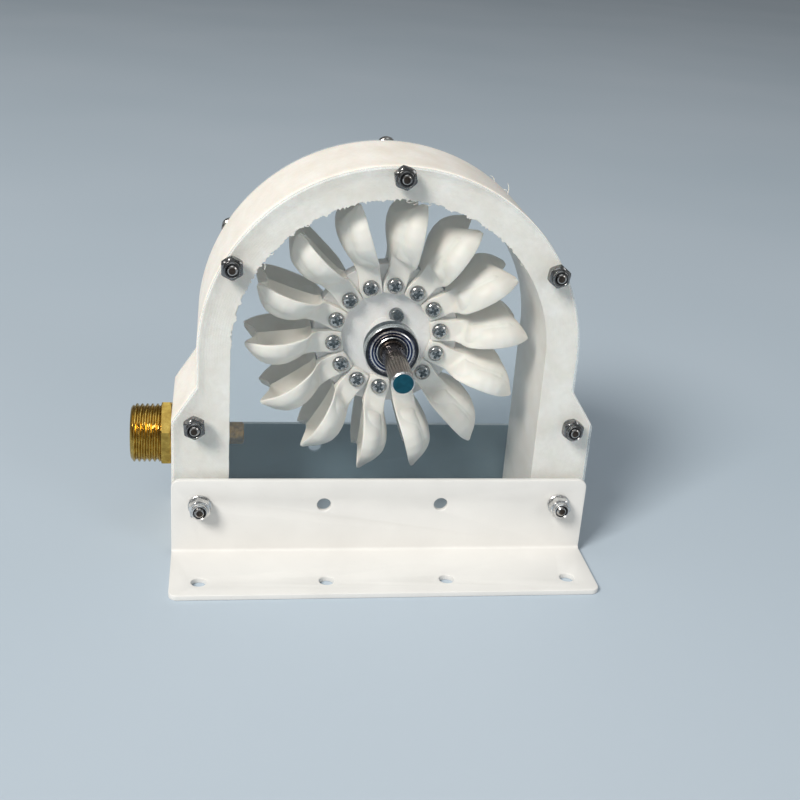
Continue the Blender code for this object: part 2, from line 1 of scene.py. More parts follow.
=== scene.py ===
"""Looks of the miniature Pelton turbine unit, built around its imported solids.

Metres, X along the brackets, Y along the shaft (the front is -Y), Z up from the ground.
Profiles of turned parts and the buckets' sections are in millimetres.
"""

import math
import random

import bmesh
import bpy
import numpy as np
from mathutils import Matrix, Vector, noise


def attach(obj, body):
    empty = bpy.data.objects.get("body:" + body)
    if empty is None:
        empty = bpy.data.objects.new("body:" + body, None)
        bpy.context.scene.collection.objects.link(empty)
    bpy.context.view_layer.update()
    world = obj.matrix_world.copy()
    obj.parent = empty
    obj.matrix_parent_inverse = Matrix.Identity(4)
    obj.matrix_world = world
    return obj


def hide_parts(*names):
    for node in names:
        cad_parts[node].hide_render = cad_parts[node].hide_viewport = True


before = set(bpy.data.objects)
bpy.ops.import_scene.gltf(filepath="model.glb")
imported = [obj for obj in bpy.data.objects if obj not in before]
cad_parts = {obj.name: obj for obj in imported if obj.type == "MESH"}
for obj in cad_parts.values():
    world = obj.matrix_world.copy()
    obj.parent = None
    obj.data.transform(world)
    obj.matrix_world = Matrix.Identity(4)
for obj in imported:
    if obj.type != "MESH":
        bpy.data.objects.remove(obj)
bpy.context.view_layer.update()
random.seed(14)

MM = 0.001
QUARTER = math.pi / 2
FULL = math.pi * 2

# Layout, as in the solids
ARCH_X = 7.45 * MM
ARCH_Z = 75.6 * MM
SHAFT_Z = 77.85 * MM
SHAFT_CENTRE = (ARCH_X, 0.0, SHAFT_Z)
HOUSING_HALF = 20.0 * MM
OUTER_RADIUS = 66.5 * MM
INNER_RADIUS = 55.0 * MM
SHOULDER_TOP = 12.0 * MM
SHOULDER_BOTTOM = 25.0 * MM
LEG_HALF_SPAN = 75.0 * MM
FOOT_Z = 0.5 * MM
PANEL_INSET = 0.3 * MM
PANEL_REAR = 20.3 * MM
PANEL_FRONT = 22.8 * MM
BRACKET_FACE = 23.1 * MM
BRACKET_LENGTH = 150.0 * MM
SHEET = 2.0 * MM
INLET_Z = 36.8 * MM
FIRST_BUCKET_ANGLE = math.radians(136.15)
BUCKET_COUNT = 14
BUCKET_ANGLES = [FIRST_BUCKET_ANGLE - i * FULL / BUCKET_COUNT for i in range(BUCKET_COUNT)]
SCREW_CIRCLE = 19.15 * MM
STEM_FACE = 6.35 * MM
HUB_HALF = 3.25 * MM
BOLT_CIRCLE = 63.4 * MM
BOLT_ROW = 20.3 * MM  # height of the bracket bolts and of the flange's other holes

SEAT_GAP = 0.02 * MM  # between a head or nut and what it sits on
THROUGH = 26.0  # half length, in millimetres, of a cutter that passes the whole unit

# Placing turned shapes: local Z along the named direction
TO_FRONT = Matrix.Rotation(QUARTER, 4, "X")
TO_REAR = Matrix.Rotation(-QUARTER, 4, "X")
TO_LEFT = Matrix.Rotation(-QUARTER, 4, "Y")
ON_SHAFT = Matrix.Translation(SHAFT_CENTRE) @ TO_FRONT
ON_INLET = Matrix.Translation((ARCH_X, 0.0, INLET_Z)) @ TO_LEFT


def front_at(x, z, y=0.0):
    return Matrix.Translation((x, y, z)) @ TO_FRONT


def polar(radius, angle, x=0.0, y=0.0):
    """The point at a distance and an angle from a centre."""
    return x + radius * math.cos(angle), y + radius * math.sin(angle)


def add_object(name, data):
    made = bpy.data.objects.new(name, data)
    bpy.context.scene.collection.objects.link(made)
    return made


# Materials


def fill(node, inputs):
    """Sets a node's inputs, by name or number, to values or to the outputs of other nodes."""
    for key, value in inputs.items():
        if isinstance(value, bpy.types.NodeSocket):
            node.id_data.links.new(value, node.inputs[key])
        else:
            node.inputs[key].default_value = value
    return node


class Finish:
    """A procedural material under construction, in coordinates that stay with the piece."""

    def __init__(self, name, roughness, metallic=0.0, specular=0.5):
        self.material = bpy.data.materials.new(name)
        self.material.use_nodes = True
        self.tree = self.material.node_tree
        self.shade({"Roughness": roughness, "Metallic": metallic, "Specular IOR Level": specular})
        self.coords = self.node("ShaderNodeTexCoord").outputs["Object"]
        self.normal = None

    def shade(self, inputs):
        fill(self.tree.nodes["Principled BSDF"], inputs)

    def node(self, kind, inputs=None, **settings):
        made = self.tree.nodes.new(kind)
        for key, value in settings.items():
            setattr(made, key, value)
        return fill(made, inputs or {})

    def noise(self, size, detail=4.0, stretch=(1.0, 1.0, 1.0), rough=0.55):
        mapping = self.node("ShaderNodeMapping", {"Vector": self.coords, "Scale": stretch})
        inputs = {"Vector": mapping.outputs[0], "Scale": 1.0 / size, "Detail": detail, "Roughness": rough}
        return self.node("ShaderNodeTexNoise", inputs).outputs["Fac"]

    def layers(self, pitch):
        """The layers of a print, stacked along Y."""
        inputs = {"Vector": self.coords, "Scale": FULL / (20.0 * pitch), "Distortion": 0.4, "Detail": 1.0}
        wave = self.node("ShaderNodeTexWave", inputs, wave_type="BANDS", bands_direction="Y")
        return wave.outputs["Fac"]

    def rings(self, pitch, centre):
        """Lines at equal distances from an axis along Y through the centre."""
        away = self.node("ShaderNodeVectorMath", {0: self.coords, 1: centre}, operation="SUBTRACT")
        inputs = {0: away.outputs[0], 1: (1.0, 0.0, 1.0)}
        flat = self.node("ShaderNodeVectorMath", inputs, operation="MULTIPLY")
        length = self.node("ShaderNodeVectorMath", {0: flat.outputs[0]}, operation="LENGTH")
        inputs = {0: length.outputs["Value"], 1: FULL / pitch}
        turn = self.node("ShaderNodeMath", inputs, operation="MULTIPLY")
        wave = self.node("ShaderNodeMath", {0: turn.outputs[0]}, operation="SINE")
        return self.remap(wave.outputs[0], -1.0, 1.0, 0.0, 1.0)

    def remap(self, value, low, high, new_low, new_high):
        inputs = {"Value": value, "From Min": low, "From Max": high, "To Min": new_low, "To Max": new_high}
        return self.node("ShaderNodeMapRange", inputs).outputs["Result"]

    def ramp(self, value, *stops):
        ramp = self.node("ShaderNodeValToRGB", {"Fac": value})
        elements = ramp.color_ramp.elements
        while len(elements) < len(stops):
            elements.new(0.5)
        for element, (place, colour) in zip(elements, stops):
            element.position = place
            element.color = (*colour, 1.0)
        return ramp.outputs["Color"]

    def overlay(self, base, pattern, low, high, share, colour):
        """The base colour with another over it, up to a share, where the pattern is high."""
        inputs = {0: self.remap(pattern, low, high, 0.0, share), 6: base, 7: (*colour, 1.0)}
        return self.node("ShaderNodeMix", inputs, data_type="RGBA").outputs[2]

    def colour(self, value, *stops):
        """The surface's colour, or the value from which a ramp makes it."""
        self.shade({"Base Color": self.ramp(value, *stops) if stops else value})

    def roughness(self, value, low, high):
        self.shade({"Roughness": self.remap(value, 0.3, 0.7, low, high)})

    def bump(self, value, depth, strength):
        """Adds relief of a given depth in metres on top of any that is there."""
        inputs = {"Height": value, "Distance": depth, "Strength": strength}
        if self.normal is not None:
            inputs["Normal"] = self.normal
        self.normal = self.node("ShaderNodeBump", inputs).outputs["Normal"]
        self.shade({"Normal": self.normal})


def printed_finish(name, warm, cool, layer, centre):
    """Printed white plastic, with its layers and, on its faces, the tracks of the nozzle."""
    made = Finish(name, 0.5)
    patches = made.noise(9.0 * MM, 5.0, (1.0, 0.6, 1.0))
    streaks = made.noise(1.6 * MM, 6.0, (1.0, 3.0, 1.0), 0.7)
    specks = made.noise(0.55 * MM, 2.0)
    base = made.ramp(patches, (0.3, warm), (0.68, cool))
    base = made.overlay(base, streaks, 0.42, 0.62, 0.22, (0.66, 0.62, 0.55))
    made.colour(made.overlay(base, specks, 0.62, 0.7, 0.3, (0.95, 0.94, 0.92)))
    made.roughness(streaks, 0.42, 0.62)
    made.shade({"Subsurface Weight": 0.08, "Subsurface Scale": 0.6 * MM})
    made.bump(made.layers(layer), 0.035 * MM, 0.5)
    made.bump(made.rings(0.9 * MM, centre), 0.04 * MM, 0.35)
    made.bump(made.noise(0.9 * MM, 5.0), 0.07 * MM, 0.55)
    return made.material


def bucket_finish():
    """Smooth ivory resin with faint blotches and pinholes."""
    made = Finish("ivory_resin", 0.55)
    patches = made.noise(7.0 * MM, 4.0)
    stains = made.noise(2.4 * MM, 3.0)
    base = made.ramp(patches, (0.32, (0.845, 0.80, 0.715)), (0.66, (0.90, 0.87, 0.80)))
    made.colour(made.overlay(base, stains, 0.6, 0.76, 0.15, (0.76, 0.69, 0.60)))
    made.roughness(patches, 0.48, 0.6)
    made.shade({"Subsurface Weight": 0.1, "Subsurface Scale": 0.8 * MM})
    made.bump(made.noise(3.4 * MM, 3.0), 0.02 * MM, 0.3)
    made.bump(made.noise(0.3 * MM, 2.0), 0.01 * MM, 0.4)
    return made.material


def painted_finish(name, light, dark, roughness):
    """Powder coat on sheet metal, with a fine orange peel and small specks of dust."""
    made = Finish(name, roughness)
    patches = made.noise(26.0 * MM, 3.0)
    dust = made.noise(0.7 * MM, 3.0)
    grey = tuple(channel * 0.82 for channel in dark)
    base = made.ramp(patches, (0.3, dark), (0.7, light))
    made.colour(made.overlay(base, dust, 0.66, 0.76, 0.5, grey))
    made.roughness(patches, roughness - 0.05, roughness + 0.07)
    made.bump(made.noise(0.8 * MM, 2.0), 0.02 * MM, 0.5)
    return made.material


def metal_finish(name, bright, dull, roughness, grain=0.5, centre=None):
    """Bare metal with fine scratches, and turning marks where it has a centre."""
    made = Finish(name, roughness, 1.0)
    patches = made.noise(3.2 * MM, 5.0)
    made.colour(patches, (0.3, dull), (0.62, bright))
    scratches = made.noise(grain * MM, 6.0, (1.0, 0.15, 1.0), 0.7)
    made.roughness(scratches, max(0.05, roughness - 0.08), roughness + 0.14)
    made.bump(scratches, 0.006 * MM, 0.4)
    if centre is not None:
        made.bump(made.rings(0.16 * MM, centre), 0.004 * MM, 0.4)
    return made.material


def ground_finish():
    """Ground bar stock with faint rings left by the wheel, its steel coloured dark brown: a painted dark
    brown reflection.
    """
    made = Finish("ground_steel_painted_brown_reflection", 0.2, 1.0)
    patches = made.noise(1.6 * MM, 3.0, (0.15, 3.0, 0.15))
    made.colour(patches, (0.3, (0.24, 0.20, 0.18)), (0.65, (0.36, 0.31, 0.28)))
    made.roughness(patches, 0.18, 0.24)
    return made.material


def brass_finish():
    """Turned brass with a mottled tarnish."""
    made = Finish("turned_brass", 0.26, 1.0)
    patches = made.noise(2.6 * MM, 6.0, rough=0.7)
    dull, bright = (0.33, 0.20, 0.045), (0.62, 0.44, 0.115)
    made.colour(patches, (0.3, dull), (0.5, (0.46, 0.305, 0.072)), (0.72, bright))
    made.roughness(patches, 0.17, 0.3)
    made.bump(made.noise(0.5 * MM, 4.0), 0.006 * MM, 0.5)
    made.bump(made.noise(2.0 * MM, 2.0), 0.012 * MM, 0.3)
    return made.material


def acrylic_finish():
    """Clear sheet: a faint tint that grows towards grazing angles, with fine hairline scratches."""
    made = Finish("clear_acrylic_sheet", 0.06)
    scratches = made.noise(0.8 * MM, 5.0, (1.0, 1.0, 0.12), 0.7)
    made.colour(scratches, (0.3, (0.58, 0.78, 0.90)), (0.7, (0.70, 0.87, 0.97)))
    made.roughness(scratches, 0.04, 0.12)
    facing = made.node("ShaderNodeLayerWeight", {"Blend": 0.1})
    made.shade({"Alpha": made.remap(facing.outputs["Facing"], 0.0, 1.0, 0.03, 0.9)})
    made.bump(scratches, 0.003 * MM, 0.3)
    return made.material


def acrylic_edge_finish():
    """The sawn and polished edge of the sheet, which gathers light."""
    made = Finish("acrylic_sheet_edge", 0.22)
    marks = made.noise(2.4 * MM, 3.0)
    made.colour(marks, (0.3, (0.70, 0.79, 0.81)), (0.7, (0.86, 0.92, 0.93)))
    made.roughness(marks, 0.16, 0.36)
    made.shade({"Alpha": made.remap(marks, 0.3, 0.7, 0.28, 0.42)})
    return made.material


def detail_finish(name, light, dark, roughness, size=1.0, **shader):
    """A grained finish for small parts."""
    made = Finish(name, roughness, **shader)
    grain = made.noise(size * MM, 4.0)
    made.colour(grain, (0.35, dark), (0.65, light))
    made.roughness(grain, max(0.05, roughness - 0.08), roughness + 0.08)
    made.bump(grain, 0.02 * MM, 0.4)
    return made.material


HOUSING = printed_finish(
    "printed_white", (0.82, 0.765, 0.68), (0.92, 0.88, 0.82), 0.3 * MM, (ARCH_X, 0.0, ARCH_Z)
)
HUB = printed_finish("printed_hub_white", (0.80, 0.79, 0.77), (0.87, 0.86, 0.85), 0.2 * MM, SHAFT_CENTRE)
BUCKET = bucket_finish()
BRACKET = painted_finish("satin_white_paint", (0.765, 0.755, 0.73), (0.715, 0.705, 0.68), 0.34)
# The rear bracket is the same sheet as the white front one, coloured dark slate-blue: painted shade for
# how dark it looks behind the housing.
SHADED_REAR_BRACKET = painted_finish("slate_paint", (0.155, 0.25, 0.295), (0.11, 0.19, 0.23), 0.4)
# A lighter grey-blue for the rear flange's top edge: a painted highlight where light from above catches
# the edge of the dark sheet.
LIT_FLANGE_EDGE = detail_finish("rear_flange_edge_painted_highlight", (0.62, 0.68, 0.70), (0.42, 0.48, 0.50), 0.36, 1.2)
STEEL = metal_finish("plated_steel", (0.46, 0.44, 0.42), (0.19, 0.185, 0.18), 0.14)
# Bright steel: the real finish of the bracket nuts and washers, and a painted highlight on the chamfers of
# the bearings and the shaft's front end.
BRIGHT_STEEL_AND_GLINT = metal_finish("bright_steel", (0.76, 0.76, 0.75), (0.50, 0.50, 0.50), 0.2)
NUT_STEEL = metal_finish("nut_steel", (0.25, 0.25, 0.25), (0.10, 0.10, 0.10), 0.18)
# Near-black steel: painted shade in the cross recesses and hex sockets, and a painted dark reflection on
# the steep sides of the screw heads.
PAINTED_SHADE_STEEL = metal_finish("steel_painted_shade_and_dark_reflection", (0.07, 0.07, 0.07), (0.03, 0.03, 0.03), 0.3)
# Near-black steel for the bolts' domed ends: a painted dark reflection.
BOLT_END_PAINTED_DARK = metal_finish("bolt_end_painted_dark_reflection", (0.075, 0.06, 0.05), (0.025, 0.02, 0.018), 0.3)
# The bearings' rings are near-black steel, a painted dark reflection, and their shields are dark blue, a
# painted blue reflection.
BEARING_PAINTED_DARK = metal_finish(
    "bearing_steel", (0.06, 0.062, 0.068), (0.025, 0.026, 0.03), 0.14, 0.4, SHAFT_CENTRE
)
SHIELD_PAINTED_REFLECTION = metal_finish("bearing_shield_painted_blue_reflection", (0.045, 0.06, 0.13), (0.014, 0.02, 0.05), 0.2, 0.4, SHAFT_CENTRE)
SHAFT = ground_finish()
# Dark teal for the shaft's front end face: a painted dark blue reflection.
SHAFT_END_PAINTED_REFLECTION = detail_finish(
    "shaft_end_painted_blue_reflection", (0.006, 0.07, 0.105), (0.003, 0.045, 0.07), 0.45, 2.5, specular=0.15
)
BRASS = brass_finish()
DULL_BRASS = detail_finish(
    "dull_brass", (0.46, 0.27, 0.07), (0.22, 0.13, 0.035), 0.36, 1.5, metallic=0.8
)
NYLON = detail_finish("nylon_ring", (0.055, 0.06, 0.068), (0.022, 0.025, 0.03), 0.4, 0.6)
ACRYLIC = acrylic_finish()
ACRYLIC_EDGE = acrylic_edge_finish()


# Mesh helpers


def skin(rows):
    """Faces between neighbouring rings of vertex numbers. A ring can be one vertex, repeated."""
    faces = []
    for low, high in zip(rows, rows[1:]):
        for i in range(len(low)):
            j = (i + 1) % len(low)
            face = list(dict.fromkeys((low[i], low[j], high[j], high[i])))
            if len(face) > 2:
                faces.append(face)
    return faces


def capped(count, rings):
    """Faces of a tube that is closed at both ends, with a count of vertices on each ring."""
    rows = [list(range(k * count, (k + 1) * count)) for k in range(rings)]
    return skin(rows) + [rows[0][::-1], rows[-1]]


def lathe(profile, segments, ring=False, shape=None):
    """A profile of (radius, height) turned about Z. shape can change the radius at an angle."""
    verts, rows = [], []
    for radius, height in profile:
        start = len(verts)
        if radius == 0.0:
            rows.append([start] * segments)
            verts.append((0.0, 0.0, height * MM))
            continue
        rows.append(list(range(start, start + segments)))
        for i in range(segments):
            angle = FULL * i / segments
            here = shape(radius, height, angle) if shape else radius
            verts.append((*polar(here * MM, angle), height * MM))
    if ring:
        rows.append(rows[0])
    return verts, skin(rows)


class Shape:
    """Vertices and faces gathered from several parts, with a material index for each face."""

    def __init__(self):
        self.verts = []
        self.faces = []
        self.slots = []

    def add(self, verts, faces, matrix=None, slot=0):
        start = len(self.verts)
        for co in verts:
            self.verts.append(matrix @ Vector(co) if matrix is not None else Vector(co))
        for face in faces:
            self.faces.append([start + i for i in face])
            self.slots.append(slot)
        return self

    def turn(self, profile, segments, matrix=None, slot=0, **options):
        """Adds a turned part, made by lathe."""
        return self.add(*lathe(profile, segments, **options), matrix, slot)

    def mesh(self, name):
        mesh = bpy.data.meshes.new(name)
        mesh.from_pydata([tuple(co) for co in self.verts], [], self.faces)
        mesh.polygons.foreach_set("material_index", self.slots)
        bm = bmesh.new()
        bm.from_mesh(mesh)
        bmesh.ops.remove_doubles(bm, verts=bm.verts, dist=0.0001 * MM)
        face_outward(bm)
        bm.to_mesh(mesh)
        bm.free()
        return mesh


def face_outward(bm):
    bmesh.ops.recalc_face_normals(bm, faces=bm.faces)
    if bm.calc_volume(signed=True) < 0:
        bmesh.ops.reverse_faces(bm, faces=bm.faces)


def add_piece(name, mesh, materials, body, stands_for=(), sharp=32.0):
    """A finished piece of the unit, in place of the solids that it stands for."""
    mesh.name = name
    slots = [0] * len(mesh.polygons)
    mesh.polygons.foreach_get("material_index", slots)
    mesh.materials.clear()
    for material in materials:
        mesh.materials.append(material)
    mesh.polygons.foreach_set("material_index", slots)
    mesh.shade_smooth()
    mesh.set_sharp_from_angle(angle=math.radians(sharp))
    made = add_object(name, mesh)
    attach(made, body)
    if stands_for:
        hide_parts(*stands_for)


def applied(source, *used):
    """The mesh of an object with its modifiers. The object and those it used are removed."""
    bpy.context.view_layer.update()
    graph = bpy.context.evaluated_depsgraph_get()
    result = bpy.data.meshes.new_from_object(source.evaluated_get(graph))
    for made in (source, *used):
        bpy.data.objects.remove(made, do_unlink=True)
    return result


def cut(mesh, cutter):
    """The mesh without what the cutter's mesh takes away."""
    target = add_object("cut_target", mesh)
    tool = add_object("cut_tool", cutter)
    boolean = target.modifiers.new("cut", "BOOLEAN")
    boolean.operation = "DIFFERENCE"
    boolean.object = tool
    boolean.solver = "EXACT"
    return applied(target, tool)


def bevelled(mesh, width, segments):
    source = add_object("bevel_source", mesh)
    bevel = source.modifiers.new("bevel", "BEVEL")
    bevel.width = width
    bevel.segments = segments
    bevel.limit_method = "ANGLE"
    bevel.angle_limit = math.radians(40.0)
    return applied(source)


def ease(value, low, high):
    """Rises smoothly from 0 at the low value to 1 at the high one."""
    share = min(1.0, max(0.0, (value - low) / (high - low)))
    return share * share * (3.0 - 2.0 * share)


def rod(radius, low, high):
    """The profile of a plain rod."""
    return [(0.0, low), (radius, low), (radius, high), (0.0, high)]


def facing(profile, side):
    """The profile with its heights on the side 1 or, mirrored, -1."""
    return [(radius, side * height) for radius, height in profile]


def raised(profile, base):
    return [(radius, base + height) for radius, height in profile]


def hexagon(across_flats, turn=0.0):
    """A limit on a turned shape's radius that gives it six flats."""

    def limit(radius, height, angle):
        offset = (angle - turn) % math.radians(60.0) - math.radians(30.0)
        return min(radius, across_flats / 2 / math.cos(offset))

    return limit


def inset_outline(outline, inset):
    """The outline, counterclockwise, moved inward by a distance."""
    moved = []
    for before, here, after in zip(outline[-1:] + outline[:-1], outline, outline[1:] + outline[:1]):
        normals = []
        for start, end in ((before, here), (here, after)):
            along = Vector(end) - Vector(start)
            normals.append(Vector((-along.y, along.x)).normalized())
        middle = (normals[0] + normals[1]).normalized()
        moved.append(Vector(here) + middle * inset / max(0.3, middle.dot(normals[0])))
    return moved


def prism(outline, low, high, edge=0.0):
    """An outline in XY between two heights, its edges chamfered."""
    loops = [(0.0, low), (0.0, high)]
    if edge > 0.0:
        loops = [(edge, low), (0.0, low + edge), (0.0, high - edge), (edge, high)]
    verts = []
    for inset, height in loops:
        verts += [(x, y, height) for x, y in inset_outline(outline, inset)]
    return verts, capped(len(outline), len(loops))


# Printed housing

HOUSING_STEP = 0.38 * MM
CORNER = 0.4 * MM


def arch_stations():
    """Pairs of inner and outer points in XZ about the arch's middle, from the right foot to the left."""
    heights = list(np.linspace(FOOT_Z - ARCH_Z, -SHOULDER_BOTTOM, 26))
    heights += list(np.linspace(-SHOULDER_BOTTOM, -SHOULDER_TOP, 14))[1:]
    heights += list(np.linspace(-SHOULDER_TOP, 0.0, 30))[1:-1]
    right = []
    for z in heights:
        outer = np.interp(z, (-SHOULDER_BOTTOM, -SHOULDER_TOP), (LEG_HALF_SPAN, OUTER_RADIUS))
        right.append(((INNER_RADIUS, z), (outer, z)))
    left = [((-a, b), (-c, d)) for (a, b), (c, d) in reversed(right)]
    steps = round(math.pi * INNER_RADIUS / HOUSING_STEP)
    crown = []
    for i in range(steps + 1):
        crown.append([polar(radius, math.pi * i / steps) for radius in (INNER_RADIUS, OUTER_RADIUS)])
    return right + crown + left


def section_points():
    """The housing's section: share of the way outward, offset outward, and y."""
    front, rear = -HOUSING_HALF, HOUSING_HALF
    points = [(share, 0.0, front) for share in (0.06, 0.16, 0.28, 0.4, 0.52, 0.64, 0.76, 0.88)]
    soft = 0.12 * MM
    corner = [(1.0, -CORNER, front), (1.0, -soft, front + soft), (1.0, 0.0, front + CORNER)]
    points += corner + [(1.0, 0.0, y) for y in np.linspace(front + 3 * MM, rear - 3 * MM, 9)]
    points += [(share, offset, -y) for share, offset, y in reversed(corner)]
    points += [(share, 0.0, rear) for share in (0.75, 0.5, 0.25)]
    points += [(0.0, CORNER, rear), (0.0, 0.0, rear - CORNER)]
    points += [(0.0, 0.0, y) for y in np.linspace(rear - 4 * MM, front + 6 * MM, 7)]
    points += [(0.0, 0.0, front + depth * MM) for depth in (3.5, 2.2, 1.5, 1.0, 0.65, 0.35, 0.12)]
    return points + [(0.0, 0.1 * MM, front), (0.0, CORNER, front)]


def raggedness(x, z):
    """How far the front edge droops inward: most over the arch, less at its right and on the legs."""
    here = Vector((x / MM, 0.0, z / MM))
    coarse = noise.noise(here * 0.22 + Vector((3.1, 0.0, 0.0)))
    fine = noise.noise(here * 0.75) + 0.7 * noise.noise(here * 1.9 + Vector((0.0, 5.0, 0.0)))
    angle = math.degrees(math.atan2(z, x))
    share = 0.15 + 0.85 * ease(angle, 38.0, 52.0) if angle < 178.0 else 0.22
    if z < -6 * MM:
        share = 0.12
    return (0.4 * coarse + 1.1 * max(-0.3, fine)) * share * MM


def housing_mesh():
    stations = arch_stations()
    section = section_points()
    verts = []
    for inner, outer in stations:
        droop = raggedness(*inner)
        inner = Vector(inner)
        outer = Vector(outer)
        out = (outer - inner).normalized()
        for share, offset, y in section:
            flat = inner.lerp(outer, share) + out * offset
            if share < 0.3 and y < -HOUSING_HALF + 3 * MM:
                fade = math.exp(-(y + HOUSING_HALF) / (0.9 * MM)) * max(0.0, 1.0 - share / 0.12)
                flat -= out * droop * fade
                y -= 0.1 * abs(droop) * fade
            if y < -HOUSING_HALF + 0.01 * MM:
                grain = noise.noise(Vector((flat.x, y * 2.0, flat.y)) / (1.6 * MM))
                y += grain * 0.035 * MM
            verts.append((ARCH_X + flat.x, y, ARCH_Z + flat.y))
    return Shape().add(verts, capped(len(section), len(stations))).mesh("housing_print")


def bolt_places():
    """Each bolt's place in XZ."""
    places = {}
    for name, angle in (("bolt_top", 90.0), ("bolt_upper_left", 150.0), ("bolt_upper_right", 30.0)):
        places[name] = polar(BOLT_CIRCLE, math.radians(angle), ARCH_X, ARCH_Z)
    for name, out, z in (("bolt_lower", 67.0 * MM, 50.0 * MM), ("bolt_bracket", 65.0 * MM, BOLT_ROW)):
        places[name + "_left"] = (ARCH_X - out, z)
        places[name + "_right"] = (ARCH_X + out, z)
    return places


def bolt_holes():
    """Cutters for the bolts' holes through the housing and the panels."""
    shape = Shape()
    for x, z in bolt_places().values():
        shape.turn(rod(2.25, -THROUGH, THROUGH), 24, front_at(x, z))
    return shape


def make_housing():
    passage = [(0.0, 76.0), (7.3, 76.0), (7.3, 57.0), (4.4, 57.0), (4.4, 53.0), (0.0, 53.0)]
    holes = bolt_holes().turn(passage, 48, ON_INLET)
    mesh = cut(housing_mesh(), holes.mesh("housing_holes"))
    add_piece("housing_print", mesh, [HOUSING], "frame", ("housing",), 40.0)


# Clear panels


def panel_outline(inset):
    leg = LEG_HALF_SPAN - inset
    radius = OUTER_RADIUS - inset
    right = [(leg, FOOT_Z - ARCH_Z), (leg, -SHOULDER_BOTTOM), (radius, -SHOULDER_TOP)]
    arc = [polar(radius, math.pi * i / 120) for i in range(121)]
    left = [(-x, z) for x, z in reversed(right)]
    return right + arc + left


def make_panels():
    for side, name in ((-1.0, "front_panel"), (1.0, "rear_panel")):
        turn = TO_FRONT if side < 0 else Matrix.Scale(-1.0, 4, (0.0, 1.0, 0.0)) @ TO_FRONT
        place = Matrix.Translation((ARCH_X, 0.0, ARCH_Z)) @ turn
        sheet = prism(panel_outline(PANEL_INSET), PANEL_REAR, PANEL_FRONT, 0.25 * MM)
        holes = bolt_holes().turn(rod(9.8, -THROUGH, THROUGH), 96, ON_SHAFT)
        mesh = cut(Shape().add(*sheet, place).mesh(name), holes.mesh("panel_holes"))
        for face in mesh.polygons:
            face.material_index = 0 if abs(face.normal.y) > 0.9 else 1
        add_piece(name + "_sheet", mesh, [ACRYLIC, ACRYLIC_EDGE], "frame", (name,), 25.0)


# Angle brackets

BEND = 3.0 * MM  # radius outside the bend
FOOT_REACH = 31.6 * MM
FOOT_FLAT = FOOT_REACH - BEND
BEND_ARC = math.pi * MM  # along the middle of the sheet
FLANGE_FLAT = 27.0 * MM
HOLE_EDGE = 0.3 * MM
FOOT_HOLE_OUT = 23.1 * MM
HOLE_PLACES = (-65.0 * MM, -21.2 * MM, 21.2 * MM, 65.0 * MM)
BEND_STEPS = 16


def bent(along, thick):
    """Distance from the flange's inner face and height of a point of the flat sheet."""
    if along <= FOOT_FLAT:
        return FOOT_REACH - along, thick
    if along >= FOOT_FLAT + BEND_ARC:
        return thick, BEND + along - FOOT_FLAT - BEND_ARC
    turn = (along - FOOT_FLAT) / BEND_ARC * QUARTER
    radius = BEND - thick
    return BEND - radius * math.sin(turn), BEND - radius * math.cos(turn)


def rounded_rectangle(half, length, radius, steps=8):
    """Counterclockwise from the lower right corner, between Y 0 and the length."""
    right, high = half - radius, length - radius
    centres = ((right, radius), (right, high), (-right, high), (-right, radius))
    points = []
    for corner, (x, y) in enumerate(centres):
        for i in range(steps + 1):
            points.append(polar(radius, QUARTER * (corner - 1 + i / steps), x, y))
    return points


def flat_sheet(length):
    """A bracket's sheet with its holes, before it is bent."""
    outline = rounded_rectangle(BRACKET_LENGTH / 2, length, 3.0 * MM)
    sheet = Shape().add(*prism(outline, 0.0, SHEET)).mesh("bracket")
    holes = Shape()
    flange_hole = FOOT_FLAT + BEND_ARC + BOLT_ROW - BEND
    for along, radius in ((FOOT_REACH - FOOT_HOLE_OUT, 2.65), (flange_hole, 2.5)):
        for x in HOLE_PLACES:
            holes.turn(rod(radius, -1.0, 3.0), 40, Matrix.Translation((x, along, 0.0)))
    return bevelled(cut(sheet, holes.mesh("bracket_holes")), HOLE_EDGE, 3)


def make_brackets():
    """Each sheet is cut flat with its holes, edged, scored at the bend and then bent."""
    length = FOOT_FLAT + BEND_ARC + FLANGE_FLAT
    for side, name in ((-1.0, "front_bracket"), (1.0, "rear_bracket")):
        sheet = flat_sheet(length)
        bm = bmesh.new()
        bm.from_mesh(sheet)
        for i in range(BEND_STEPS + 1):
            place = FOOT_FLAT + BEND_ARC * i / BEND_STEPS
            geometry = bm.verts[:] + bm.edges[:] + bm.faces[:]
            bmesh.ops.bisect_plane(bm, geom=geometry, plane_co=(0, place, 0), plane_no=(0, 1, 0))
        # Faces of the flange's top edge, which take the painted highlight on the rear bracket.
        for face in bm.faces:
            if abs(face.normal.z) < 0.5 and face.calc_center_median().y > length - SHEET:
                face.material_index = 1
        for vert in bm.verts:
            away, up = bent(vert.co.y, vert.co.z)
            vert.co = Vector((ARCH_X + vert.co.x, side * (BRACKET_FACE + away), up))
        face_outward(bm)
        bm.to_mesh(sheet)
        bm.free()
        # The rear bracket is coloured dark for painted shade, and its flange's top edge carries a painted
        # highlight.
        materials = [BRACKET, BRACKET] if side < 0 else [SHADED_REAR_BRACKET, LIT_FLANGE_EDGE]
        add_piece(name + "_sheet", sheet, materials, "frame", (name,), 30.0)


# Bolts with lock nuts

